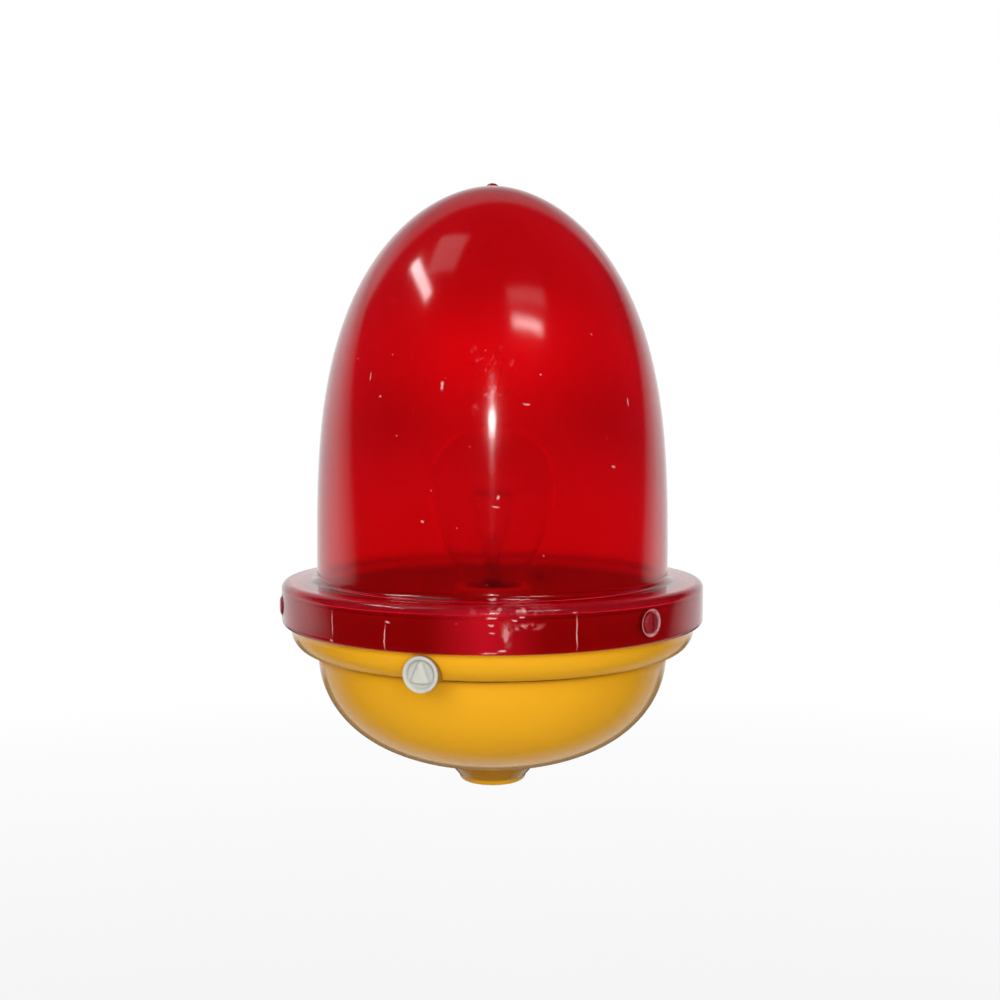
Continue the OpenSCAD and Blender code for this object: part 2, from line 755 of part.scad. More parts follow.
module latch_nut() {
    color("silver") translate([0, -cam_back_y + nut_t, 0]) along_latch() difference() {
        cylinder(r = stud_r * 2.5, h = nut_t - fit, $fn = 6);
        translate([0, 0, -1]) cylinder(r = stud_r + fit, h = nut_t + 2);
    }
}

module bulb_contact() {
    color("silver") translate([0, 0, lamp_z]) cylinder(r1 = 3.2, r2 = 4.4, h = pip_h);
}

module bulb_insulator() {
    color("black") translate([0, 0, lamp_z + pip_h]) cylinder(r1 = 5.4, r2 = cap_r - 1.6, h = insulator_h);
}

// Cap shell with its rolled thread drawn as rounded rings
module bulb_cap() {
    turns = floor((cap_h - 4) / cap_pitch);
    wave = 8;
    color("silver") rotate_extrude() polygon(concat(
        [[neck_r + 0.2, cap_z], [cap_r - thread_depth, cap_z]],
        [for (i = [0:turns * wave])
            [cap_r - thread_depth * (1 + cos(i * 360 / wave)) / 2, cap_z + 2 + i * cap_pitch / wave]],
        [[cap_r - thread_depth, cap_top_z], [neck_r + 0.2, cap_top_z]]
    ));
}

// Outline of the globe, drawn in by t for its inside
function globe_curve(t) = concat(
    [[neck_r - t, neck_z], [neck_r - t, cap_top_z]],
    bez([neck_r - t, cap_top_z + 1], [neck_r + 6 - t, cap_top_z + 16],
        [glass_r - t, globe_z - 26], [glass_r - t, globe_z], 14),
    arc([0, globe_z], glass_r - t, 6, 90, 14)
);

module bulb_glass() {
    inner = globe_curve(glass_t);
    color("white") rotate_extrude() polygon(concat(
        globe_curve(0), [for (i = [len(inner) - 1:-1:0]) inner[i]]
    ));
}

module bulb_stem() {
    flare_r = neck_r - glass_t - fit;
    color("white") rotate_extrude() polygon(concat(
        [[0, neck_z], [flare_r, neck_z]],
        bez([flare_r, neck_z + stem_flare_h / 8], [stem_r * 1.4, neck_z + stem_flare_h / 4],
            [stem_r, neck_z + stem_flare_h / 2], [stem_r, neck_z + stem_flare_h], 9),
        arc([0, stem_z - stem_r], stem_r, 0, 90, arc_steps)
    ));
}

// Two lead-in wires that rise from the stem and spread to the ends of the filament
module bulb_wires() {
    foot_x = stem_r + lead_in_r + fit;
    knee_z = stem_z - wire_knee;
    color("gray") for (s = [-1, 1])
        tube(concat(
            [[s * foot_x, 0, knee_z - wire_foot]],
            bez([s * foot_x, 0, knee_z - 2], [s * foot_x, 0, knee_z + 2],
                [s * (foot_x + 2), 0, knee_z + 6], [s * filament_half, 0, filament_z], 6)
        ), lead_in_r, [0, 1, 0], 6);
}

// Coiled filament between the tips of the lead-in wires
coil_turns = 14;
coil_r = 1.3;
coil_wire_r = 0.25;
coil_steps = 8;
coil_half = filament_half - lead_in_r - run_clear;
coil_points = coil_turns * coil_steps;
coil_path = [for (i = [0:coil_points]) let (a = i * 360 / coil_steps)
    [(2 * i / coil_points - 1) * coil_half, coil_r * cos(a), filament_z + coil_r * sin(a)]];
coil_gap = min([for (i = [0:len(coil_path) - coil_steps - 1])
    norm(coil_path[i + coil_steps] - coil_path[i])]) - 2 * coil_wire_r;
echo(least_gap_of_the_filament_to_itself = coil_gap);

module bulb_filament() {
    color("gray") tube(coil_path, coil_wire_r, [1, 0, 0], 6);
}

base_bowl();
rim_gasket();
keeper_pin();
hinge_pin();
hinge_clips();
lamp_bracket();
bracket_screws();
holder_body();
holder_shell();
holder_contact();
holder_screws();
terminal_block();
terminal_screws();
block_screws();
earth_screw();
live_lead();
neutral_lead();
earth_lead();
collar_ring();
lens_gasket();
lens_dome();
lens_screws();
latch_bush();
latch_knob();
latch_shaft();
latch_spring();
latch_cam();
latch_nut();
bulb_contact();
bulb_insulator();
bulb_cap();
bulb_glass();
bulb_stem();
bulb_wires();
bulb_filament();
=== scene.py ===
import bpy
import math
from mathutils import Matrix, Vector
from types import SimpleNamespace


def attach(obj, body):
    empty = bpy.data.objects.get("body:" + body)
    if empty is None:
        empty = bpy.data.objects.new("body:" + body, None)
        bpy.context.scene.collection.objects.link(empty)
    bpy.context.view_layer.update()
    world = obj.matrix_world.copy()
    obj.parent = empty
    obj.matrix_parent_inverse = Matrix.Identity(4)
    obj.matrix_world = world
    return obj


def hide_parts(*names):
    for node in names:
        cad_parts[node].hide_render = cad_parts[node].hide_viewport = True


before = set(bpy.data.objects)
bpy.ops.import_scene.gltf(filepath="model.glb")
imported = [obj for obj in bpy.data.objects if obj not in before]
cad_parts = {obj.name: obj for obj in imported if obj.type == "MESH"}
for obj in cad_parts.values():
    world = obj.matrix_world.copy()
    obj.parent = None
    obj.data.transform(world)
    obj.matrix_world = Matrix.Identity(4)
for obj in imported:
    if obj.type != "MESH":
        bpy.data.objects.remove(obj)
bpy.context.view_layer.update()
mm = 0.001
scene = bpy.context.scene
print("frame loaded:", len(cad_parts), "nodes")


# ways of working, used by every piece

def sizesOf(values):  # a piece's dictionary, read by name
    return SimpleNamespace(**values)


def dropSelection():
    if bpy.context.mode != "OBJECT":
        bpy.ops.object.mode_set(mode="OBJECT")
    bpy.ops.object.select_all(action="DESELECT")


def pickOnly(*pieces):
    dropSelection()
    for piece in pieces:
        piece.select_set(True)
    bpy.context.view_layer.objects.active = pieces[0]


def nameIt(piece, name):
    piece.name = name
    piece.data.name = name
    return piece


def applyPlace(piece):  # place, turn and scale go into the mesh
    bpy.ops.object.transform_apply(location=True, rotation=True, scale=True)
    return piece


def drawLine(name, points):  # a corner pulled along points in mm, left in edit mode
    dropSelection()
    bpy.ops.mesh.primitive_plane_add(size=mm, location=(0, 0, 0))
    piece = nameIt(bpy.context.object, name)
    bpy.ops.object.mode_set(mode="EDIT")
    bpy.ops.mesh.merge(type="CENTER")
    bpy.ops.transform.translate(value=Vector(points[0]) * mm)
    for near, far in zip(points, points[1:]):
        step = (Vector(far) - Vector(near)) * mm
        bpy.ops.mesh.extrude_region_move(TRANSFORM_OT_translate={"value": step})
    return piece


def closeUp():  # doubles merged, then faces outwards
    bpy.ops.mesh.select_all(action="SELECT")
    bpy.ops.mesh.remove_doubles(threshold=0.002 * mm)
    bpy.ops.mesh.normals_make_consistent(inside=False)
    bpy.ops.object.mode_set(mode="OBJECT")


def turnPiece(name, outline, steps=96):  # outline of (radius, height) spun about Z
    piece = drawLine(name, [(r, 0, z) for r, z in outline])
    bpy.ops.mesh.select_all(action="SELECT")
    bpy.ops.mesh.spin(steps=steps, angle=math.tau, center=(0, 0, 0), axis=(0, 0, 1))
    closeUp()
    return piece


def cutPlate(name, outline, pull):  # outline in mm, filled and pulled to its thickness
    piece = drawLine(name, outline)
    bpy.ops.mesh.select_all(action="SELECT")
    bpy.ops.mesh.edge_face_add()
    bpy.ops.mesh.extrude_region_move(TRANSFORM_OT_translate={"value": Vector(pull) * mm})
    closeUp()
    return piece


def makeDrum(name, radius, low, high, sides=48):
    dropSelection()
    bpy.ops.mesh.primitive_cylinder_add(
        vertices=sides, radius=radius * mm, depth=(high - low) * mm, location=(0, 0, (low + high) / 2 * mm))
    return applyPlace(nameIt(bpy.context.object, name))


def makeBlock(name, low, high):
    dropSelection()
    bpy.ops.mesh.primitive_cube_add(size=1, location=(Vector(low) + Vector(high)) / 2 * mm)
    piece = nameIt(bpy.context.object, name)
    piece.scale = (Vector(high) - Vector(low)) * mm
    return applyPlace(piece)


def put(piece, at=(0, 0, 0), turned=(0, 0, 0)):
    pickOnly(piece)
    piece.rotation_euler = [math.radians(angle) for angle in turned]
    piece.location = Vector(at) * mm
    return applyPlace(piece)


def copyOf(piece, name):
    pickOnly(piece)
    bpy.ops.object.duplicate()
    return nameIt(bpy.context.object, name)


def applyAs(piece, kind, **settings):
    pickOnly(piece)
    modifier = piece.modifiers.new(kind.lower(), kind)
    for key, value in settings.items():
        setattr(modifier, key, value)
    bpy.ops.object.modifier_apply(modifier=modifier.name)
    return piece


def softenEdges(piece, width, segments=2, angle=35):
    return applyAs(
        piece, "BEVEL", width=width * mm, segments=segments, limit_method="ANGLE",
        angle_limit=math.radians(angle), use_clamp_overlap=True)


def combine(piece, how, others):
    for other in others:
        applyAs(piece, "BOOLEAN", operation=how, object=other, solver="EXACT")
        bpy.data.objects.remove(other)
    return piece


def weld(piece, *others):
    return combine(piece, "UNION", others)


def carve(piece, *cutters):
    return combine(piece, "DIFFERENCE", cutters)


def drill(piece, radius, low, high, at=(0, 0, 0), turned=(0, 0, 0), sides=48):
    return carve(piece, put(makeDrum("drill", radius, low, high, sides), at, turned))


def gather(name, pieces):  # copies joined into one piece
    pickOnly(*pieces)
    if len(pieces) > 1:
        bpy.ops.object.join()
    return nameIt(bpy.context.object, name)


def tidyFaces(piece):
    pickOnly(piece)
    bpy.ops.object.mode_set(mode="EDIT")
    closeUp()
    return piece


def drawTube(name, points, radius, sides=4):  # line turned into a round wire
    piece = drawLine(name, points)
    bpy.ops.object.mode_set(mode="OBJECT")
    pickOnly(piece)
    bpy.ops.object.convert(target="CURVE")
    wire = bpy.context.object
    wire.data.bevel_depth = radius * mm
    wire.data.bevel_resolution = sides
    wire.data.use_fill_caps = True
    bpy.ops.object.convert(target="MESH")
    return tidyFaces(nameIt(bpy.context.object, name))


def arcPoints(centre, radius, start, end, count):  # one radius, or one across and one up
    across, up = radius if isinstance(radius, tuple) else (radius, radius)
    points = []
    for i in range(count + 1):
        angle = math.radians(start + (end - start) * i / count)
        points.append((centre[0] + across * math.cos(angle), centre[1] + up * math.sin(angle)))
    return points


def bezierPoints(a, b, c, d, count):
    points = []
    for i in range(count + 1):
        t = i / count
        weights = ((1 - t) ** 3, 3 * t * (1 - t) ** 2, 3 * t * t * (1 - t), t ** 3)
        points.append(tuple(sum(w * p[k] for w, p in zip(weights, (a, b, c, d))) for k in range(len(a))))
    return points


def settle(piece, body, finish, nodes=(), angle=32):
    pickOnly(piece)
    bpy.ops.object.shade_smooth_by_angle(angle=math.radians(angle))
    piece.data.materials.clear()
    piece.data.materials.append(finish)
    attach(piece, body)
    if nodes:
        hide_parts(*nodes)
    return piece


# finishes

class Field:  # a value that a node gives, reckoned with like a number
    def __init__(self, tree, socket):
        self.tree = tree
        self.socket = socket

    def reckon(self, how, other=0.0, swapped=False):
        pair = (other, self) if swapped else (self, other)
        return newField(self.tree, "Math", "Value", dict(enumerate(pair)), operation=how)

    def __add__(self, other):
        return self.reckon("ADD", other)

    def __sub__(self, other):
        return self.reckon("SUBTRACT", other)

    def __rsub__(self, other):
        return self.reckon("SUBTRACT", other, True)

    def __mul__(self, other):
        return self.reckon("MULTIPLY", other)

    def __abs__(self):
        return self.reckon("ABSOLUTE")

    def most(self, other):
        return self.reckon("MAXIMUM", other)

    def least(self, other):
        return self.reckon("MINIMUM", other)

    def above(self, limit):
        return self.reckon("GREATER_THAN", limit)

    def below(self, limit):
        return self.reckon("LESS_THAN", limit)

    def spread(self, low, high, toLow=0.0, toHigh=1.0):  # one range mapped to another, held at its ends
        values = {"Value": self, "From Min": low, "From Max": high, "To Min": toLow, "To Max": toHigh}
        return newField(self.tree, "MapRange", "Result", values)


def feed(socket, value):
    if isinstance(value, Field):
        value.tree.links.new(value.socket, socket)
    elif socket.type == "RGBA":
        socket.default_value = (*value, 1)
    else:
        socket.default_value = value


def addNode(tree, kind, inputs=None, **settings):
    node = tree.nodes.new("ShaderNode" + kind)
    for key, value in settings.items():
        setattr(node, key, value)
    for key, value in (inputs or {}).items():
        feed(node.inputs[key], value)
    return node


def newField(tree, kind, output, inputs=None, **settings):
    return Field(tree, addNode(tree, kind, inputs, **settings).outputs[output])


def newFinish(name):
    finish = bpy.data.materials.new(name)
    finish.use_nodes = True
    return finish, finish.node_tree


def dress(finish, inputs, height=None, strength=0.0, distance=0.0):  # shader's values, then any bump
    tree = finish.node_tree
    shader = tree.nodes["Principled BSDF"]
    for key, value in inputs.items():
        feed(shader.inputs[key], value)
    if height:
        values = {"Strength": strength, "Distance": distance, "Height": height}
        feed(shader.inputs["Normal"], newField(tree, "Bump", "Normal", values))
    return finish


def objectPlace(tree, stretch=(1, 1, 1), shift=(0, 0, 0)):
    place = newField(tree, "TexCoord", "Object")
    return newField(tree, "Mapping", "Vector", {"Scale": stretch, "Location": shift, "Vector": place})


def placeInMm(tree):  # x, y and z on the object
    split = addNode(tree, "SeparateXYZ", {"Vector": objectPlace(tree, (1 / mm,) * 3)})
    return [Field(tree, socket) for socket in split.outputs]


def reachOf(a, b):
    return (a * a + b * b).reckon("SQRT")


def mottle(tree, scale, low=0.0, high=1.0, toLow=0.0, toHigh=1.0, detail=4,
           stretch=(1, 1, 1), shift=(0, 0, 0)):  # cloudy noise, a part of its range spread to another
    place = objectPlace(tree, stretch, shift)
    noise = newField(tree, "TexNoise", "Fac", {"Scale": scale, "Detail": detail, "Vector": place})
    return noise.spread(low, high, toLow, toHigh)


def tint(mask, under, over):
    return newField(mask.tree, "Mix", 2, {0: mask, 6: under, 7: over}, data_type="RGBA")


def workedFinish(name, colour, worn, rough, metal=0.0, patch=70, bump=0.08, coat=0.0):
    finish, tree = newFinish(name)
    between = tuple((a + b) / 2 for a, b in zip(colour, worn))
    base = tint(mottle(tree, patch, 0.35, 0.7), colour, between)
    base = tint(mottle(tree, patch * 6, 0.4, 0.75) * 0.6, base, worn)
    return dress(finish, {
        "Base Color": base, "Roughness": mottle(tree, patch * 2, 0.3, 0.7, *rough), "Metallic": metal,
        "Coat Weight": coat, "Coat Roughness": 0.08}, mottle(tree, 900), bump, 0.3 * mm)


lensLook = {
    # frost is the pale colour of frosted marks and of painted glints
    "red": (0.97, 0.020, 0.058), "deep": (0.91, 0.014, 0.042), "frost": (0.84, 0.46, 0.46),
    "rough": (0.105, 0.145), "ior": 1.49, "midHaze": 0.2, "frostHaze": 0.7,
    # the skirt is painted darker at its sides and lighter, hazier facing the front: painted shade and a
    # painted highlight, with the highlight's azimuth and spread in degrees
    "skirtRed": (0.76, 0.010, 0.028), "skirtMid": (1.0, 0.012, 0.045), "midAt": (16.0, 1.5, 14.0),
    "skirtTop": 97.0, "outside": 98.2, "wobble": 0.005, "waver": 0.5, "markSoft": 0.4,
    "rubSoft": 0.3, "rubStep": 0.12, "rubMost": 0.75,
    # azimuth, half width in degrees, height, half height in mm: the skirt's hairlines and the dome's nicks,
    # and painted glints where the front highlight repeats on the skirt and flange
    "marks": (
        (-25.6, 0.22, 87.5, 7.0), (-25.9, 0.5, 79.6, 0.9), (-9.0, 0.22, 84.0, 6.8), (-8.3, 0.9, 90.4, 0.35),
        (37.6, 0.25, 86.5, 8.6), (37.0, 0.8, 95.0, 0.4), (16.8, 2.6, 79.2, 0.5),
        (1.7, 0.6, 187.6, 2.2), (27.5, 1.5, 180.0, 0.5), (56.4, 0.8, 153.2, 0.8), (-3.2, 0.6, 131.1, 0.6),
        (-20.1, 0.6, 183.6, 0.7), (-25.2, 0.3, 192.2, 2.6), (65.4, 0.4, 181.1, 2.2), (19.0, 0.5, 141.2, 1.3),
        (18.4, 1.4, 137.4, 0.45), (32.6, 0.4, 192.6, 0.6), (17.0, 0.9, 90.4, 0.45), (17.2, 0.8, 87.2, 0.35),
        (17.2, 1.8, 98.9, 0.5), (25.0, 6.0, 98.7, 0.25), (17.1, 1.5, 93.4, 0.6), (19.6, 1.1, 80.0, 0.7),
        (22.6, 0.8, 92.4, 0.5), (24.2, 0.8, 93.6, 0.5)),
    # the same of the rubbed patches, with how closely they are rubbed; those facing the front also paint the
    # highlight on the skirt and dome
    "rubbed": ((17.0, 11.0, 190.0, 17.0, 0.59), (20.6, 1.6, 86.6, 6.8, 0.42), (24.8, 6.2, 89.6, 1.9, 0.43),
               (21.6, 11.0, 96.6, 2.4, 0.48)),
    # painted highlight ring round the front screws' seats
    "screwAt": 60.0, "ringIn": (4.5, 4.8), "ringOut": (5.8, 6.2),
}


def makeLensFinish():
    look = sizesOf(lensLook)
    finish, tree = newFinish("redLensPlastic")
    x, y, z = placeInMm(tree)
    around = x.reckon("ARCTAN2", y * -1)
    azimuth = around + mottle(tree, 150, 0.3, 0.7, -look.wobble, look.wobble)
    level = z + mottle(tree, 260, 0.3, 0.7, -look.waver, look.waver, shift=(4, 4, 4))

    def patch(angle, half, height, tall, soft):
        angle, half = math.radians(angle), math.radians(half)
        across = abs(azimuth - angle).spread(half * soft, half, 1, 0)
        return across * abs(level - height).spread(tall * soft, tall, 1, 0)

    # pale frosted marks: dust specks, hairlines and nicks, with painted glints and painted highlight patches
    # facing the front
    frost = mottle(tree, 420, 0.80, 0.82, detail=1) * 0.6
    for place in look.marks:
        frost = frost.most(patch(*place, look.markSoft))
    for *place, patchLevel in look.rubbed:
        scuffAndGlint = mottle(
            tree, 300, patchLevel, patchLevel + look.rubStep, toHigh=look.rubMost, detail=3, stretch=(1, 1, 0.7))
        frost = frost.most(scuffAndGlint * patch(*place, look.rubSoft))
    # painted highlight ring round each front screw's seat, mottled
    sideways = (abs(around) - math.radians(look.screwAt)) * lens["skirtR"]
    reach = reachOf(sideways, z - lens["screwZ"])
    ring = reach.spread(*look.ringIn) * reach.spread(*look.ringOut, 1, 0)
    frost = frost.most(ring * mottle(tree, 180, 0.3, 0.6, 0.6, 1.0))
    frost = frost * reachOf(x, y).above(look.outside).most(z.above(lens["flangeTop"]))
    base = tint(mottle(tree, 18, 0.35, 0.65), look.red, look.deep)
    # painted highlight down the skirt's front, painted shade on its sides
    middle, near, far = (math.radians(angle) for angle in look.midAt)
    skirtMid = abs(azimuth - middle).spread(near, far, 1, 0)
    onSkirt = z.below(look.skirtTop)
    base = tint(onSkirt, base, tint(skirtMid, look.skirtRed, look.skirtMid))
    frostAndLitHaze = (skirtMid * onSkirt * look.midHaze).most(frost * look.frostHaze)
    return dress(finish, {
        "Base Color": tint(frost, base, look.frost), "Transmission Weight": 1 - frostAndLitHaze, "IOR": look.ior,
        "Roughness": mottle(tree, 30, 0.3, 0.7, *look.rough)}, mottle(tree, 26, detail=1), 0.03, 0.6 * mm)


latchZ = 69.4  # height of the latch, in mm
paintLook = {
    "yellow": (0.84, 0.40, 0.008), "orange": (0.80, 0.365, 0.006), "pale": (0.86, 0.43, 0.012),
    # grime colours the seam's darkening and the painted shade on the bosses
    "grime": (0.42, 0.17, 0.006), "primer": (0.45, 0.36, 0.22),
    # darkening along the seam, painted shade on the conduit boss under the bowl and on the latch boss's side
    # behind the knob: heights or reaches in mm, with shares
    "seam": 64.2, "seamReach": (0.5, 1.7), "seamShade": (82.4, 83.0, 0.5, 0.9),
    "bossLow": (1.8, 3.4, 0, 0.85), "bossHigh": (9.5, 13.0, 1, 0),
    "gapReach": (6.5, 7.4), "gapY": (-84.0, -90.0, 0, 0.85),
    "coat": (2.5, 5.0, 0.1, 0.9),
}


def makePaintFinish():
    look = sizesOf(paintLook)
    finish, tree = newFinish("yellowPaintedCasting")
    x, y, z = placeInMm(tree)
    base = tint(mottle(tree, 14, 0.25, 0.8, detail=2), look.yellow, look.orange)
    base = tint(mottle(tree, 9, 0.4, 0.8, toHigh=0.5, detail=2, shift=(3, 1, 2)), base, look.pale)
    offSeam = abs(z - look.seam)
    seam = offSeam.spread(*look.seamReach, 1, 0) * reachOf(x, y).spread(*look.seamShade)
    # painted shade on the conduit boss under the bowl, its bottom lip left light
    boss = z.spread(*look.bossLow) * z.spread(*look.bossHigh)
    # painted shade on the side of the latch boss behind the knob
    aside = reachOf(x, z - latchZ)
    gap = y.spread(*look.gapY) * aside.above(look.gapReach[0]) * aside.below(look.gapReach[1])
    # the bosses' painted shade, together with mottled darkening along the seam
    dirt = boss.most(seam * mottle(tree, 40, 0.25, 0.75, toLow=0.45)).most(gap)
    chips = mottle(tree, 210, 0.79, 0.80, detail=2, shift=(7, 2, 5))
    base = tint(chips, tint(dirt, base, look.grime), look.primer)
    return dress(finish, {
        "Base Color": base, "Roughness": mottle(tree, 60, 0.3, 0.7, 0.3, 0.42), "Specular IOR Level": 0.15,
        "Coat Weight": offSeam.spread(*look.coat), "Coat Roughness": 0.07,
    }, mottle(tree, 620, detail=2) + chips * -2, 0.06, 0.3 * mm)


knobLook = {
    "cream": (0.62, 0.60, 0.51), "grey": (0.54, 0.53, 0.48), "grime": (0.20, 0.17, 0.12),
    # the dish's grey and the dark of the side's back are painted shade; the corner's colour is grime with
    # painted shade
    "dish": (0.50, 0.505, 0.47), "dirt": (0.05, 0.03, 0.008), "cornerDirt": (0.24, 0.21, 0.15),
    # where the dish's painted shade, the painted shade on the back of the side and the dish's dirty corner,
    # darker at the top as painted shade, lie, in mm, with shares
    "dishY": (-99.7, -98.9), "side": (7.35, 7.5), "backY": (-98.8, -98.0, 0, 0.9),
    "corner": (4.9, 6.2), "cornerY": (-99.2, -98.9), "cornerLevel": (-3.0, 3.0, 0.25, 0.85),
}


def makeKnobFinish():
    look = sizesOf(knobLook)
    finish, tree = newFinish("creamNylon")
    x, y, z = placeInMm(tree)
    up = z - latchZ
    reach = reachOf(x, up)
    base = tint(mottle(tree, 140, 0.35, 0.7), look.cream, look.grey)
    base = tint(mottle(tree, 520, 0.62, 0.8, toHigh=0.5), base, look.grime)
    # recessed dish painted greyer as painted shade
    base = tint(y.spread(*look.dishY), base, look.dish)
    # back of the knob's side painted dark: painted shade with some grime where it meets the casting
    base = tint(reach.spread(*look.side) * y.spread(*look.backY), base, look.dirt)
    # dish corner darkened as grime all round, and more at the top as painted shade from the rim
    corner = reach.spread(*look.corner) * y.spread(*look.cornerY) * up.spread(*look.cornerLevel)
    base = tint(corner, base, look.cornerDirt)
    return dress(finish, {
        "Base Color": base, "Roughness": mottle(tree, 300, 0.3, 0.7, 0.38, 0.5),
        "Subsurface Weight": 0.08, "Subsurface Radius": (0.002, 0.002, 0.0015),
    }, mottle(tree, 1500, detail=2), 0.08, 0.2 * mm)


def makeSheetFinish():  # galvanised sheet with its crystal flowers
    finish, tree = newFinish("galvanisedSheet")
    cells = newField(tree, "TexVoronoi", "Color", {"Scale": 150, "Vector": objectPlace(tree)})
    split = addNode(tree, "SeparateColor", {"Color": cells})
    red, green = (Field(tree, split.outputs[key]) for key in ("Red", "Green"))
    base = tint(red, (0.42, 0.44, 0.46), (0.60, 0.62, 0.64))
    base = tint(mottle(tree, 60, 0.6, 0.8, toHigh=0.6), base, (0.30, 0.29, 0.27))
    return dress(finish, {"Base Color": base, "Roughness": green.spread(0, 1, 0.34, 0.52), "Metallic": 0.9},
                 mottle(tree, 500), 0.06, 0.2 * mm)


def glassFinish(name, clear, ior, coatRough, cloud, smear):
    finish, tree = newFinish(name)
    scale, *colours = cloud
    return dress(finish, {
        "Base Color": tint(mottle(tree, scale, 0.4, 0.7), *colours), "Roughness": mottle(tree, *smear),
        "Transmission Weight": clear, "IOR": ior, "Coat Weight": 0.4, "Coat Roughness": coatRough})


def makeStripedFinish():  # green and yellow earth insulation, striped along the lead
    finish, tree = newFinish("greenYellowInsulation")
    x = placeInMm(tree)[0]
    base = tint(abs(x).spread(0.55, 0.65), (0.72, 0.55, 0.03), (0.03, 0.24, 0.05))
    base = tint(mottle(tree, 300, 0.5, 0.9, toHigh=0.4), base, (0.10, 0.12, 0.04))
    return dress(finish, {"Base Color": base, "Roughness": mottle(tree, 200, 0.3, 0.7, 0.38, 0.5)},
                 mottle(tree, 900), 0.06, 0.2 * mm)


yellowPaint = makePaintFinish()
creamNylon = makeKnobFinish()
zincSheet = makeSheetFinish()
bulbGlass = glassFinish("clearBulbGlass", 1.0, 1.06, 0.02,
                        (40, (0.99, 0.995, 0.99), (0.97, 0.98, 0.975)), (90, 0.55, 0.8, 0.01, 0.06))
stemGlass = glassFinish("milkyStemGlass", 0.88, 1.12, 0.03,
                        (120, (0.98, 0.985, 0.98), (0.92, 0.94, 0.93)), (200, 0.4, 0.8, 0.12, 0.3))
earthStripe = makeStripedFinish()
paleRubber = workedFinish("paleSilicone", (0.74, 0.70, 0.62), (0.60, 0.55, 0.46), (0.5, 0.66))
redLacquer = workedFinish(
    "redLacquer", (0.30, 0.012, 0.02), (0.20, 0.01, 0.015), (0.22, 0.34), patch=120, coat=0.3)
blackRubber = workedFinish("blackRubber", (0.022, 0.021, 0.02), (0.07, 0.062, 0.05), (0.62, 0.8), bump=0.2)
plainSteel = workedFinish("plainSteel", (0.52, 0.51, 0.49), (0.33, 0.30, 0.26), (0.28, 0.42), metal=1.0)
darkSteel = workedFinish("darkSteel", (0.16, 0.15, 0.15), (0.09, 0.075, 0.065), (0.36, 0.5), metal=1.0)
porcelain = workedFinish(
    "whitePorcelain", (0.80, 0.78, 0.72), (0.70, 0.66, 0.58), (0.1, 0.2), patch=30, bump=0.03, coat=0.6)
brass = workedFinish("brass", (0.66, 0.44, 0.15), (0.40, 0.25, 0.09), (0.24, 0.4), metal=1.0)
palePlastic = workedFinish("paleMoulding", (0.80, 0.78, 0.70), (0.68, 0.65, 0.56), (0.38, 0.52), bump=0.1)
brownSleeve = workedFinish("brownInsulation", (0.13, 0.05, 0.02), (0.18, 0.085, 0.045), (0.38, 0.5))
blueSleeve = workedFinish("blueInsulation", (0.03, 0.10, 0.36), (0.07, 0.15, 0.38), (0.38, 0.5))
capMetal = workedFinish("lampCapMetal", (0.74, 0.72, 0.68), (0.52, 0.49, 0.44), (0.22, 0.36), metal=1.0)
capGlass = workedFinish("blackCapGlass", (0.02, 0.018, 0.02), (0.05, 0.045, 0.045), (0.12, 0.25), bump=0.03)
tungsten = workedFinish(
    "filamentWire", (0.46, 0.45, 0.43), (0.36, 0.35, 0.33), (0.4, 0.55), metal=1.0, patch=400)
print("finishes made:", len([m for m in bpy.data.materials if m.use_nodes]))


# lens: dome, flange and skirt turned as one moulding, with sunk seats for its three screws

lens = {
    "skirtR": 100.0, "skirtIn": 96.4, "skirtLow": 77.8, "flangeTop": 98.0, "flangeLow": 94.4,
    "lowEdge": 2.4, "topEdge": 3.4, "fillet": 3.4, "domeR": 83.4, "domeH": 184.7, "wall": 3.2,
    "power": 3.1, "root": 1.82, "nubR": 3.2, "nubH": 1.8, "curveSteps": 56, "spinSteps": 192,
    "screwZ": 87.3, "screwAngles": (90, 210, 330), "seatR": 98.8, "sinkR": 5.0, "sinkLip": 5.7, "holeR": 2.3,
}
redLens = makeLensFinish()


def domePoint(r, h, a):
    s = math.sin(a)
    return r * max(1 - s ** lens["power"], 0) ** (1 / lens["root"]), lens["flangeTop"] + h * s


def domeLine(r, h, start, end):
    top = math.asin((1 - (end / r) ** lens["root"]) ** (1 / lens["power"]))
    points = []
    for i in range(lens["curveSteps"] + 1):  # closer together towards the top
        share = math.sin(math.pi / 2 * i / lens["curveSteps"])
        points.append(domePoint(r, h, start + (top - start) * share))
    return points


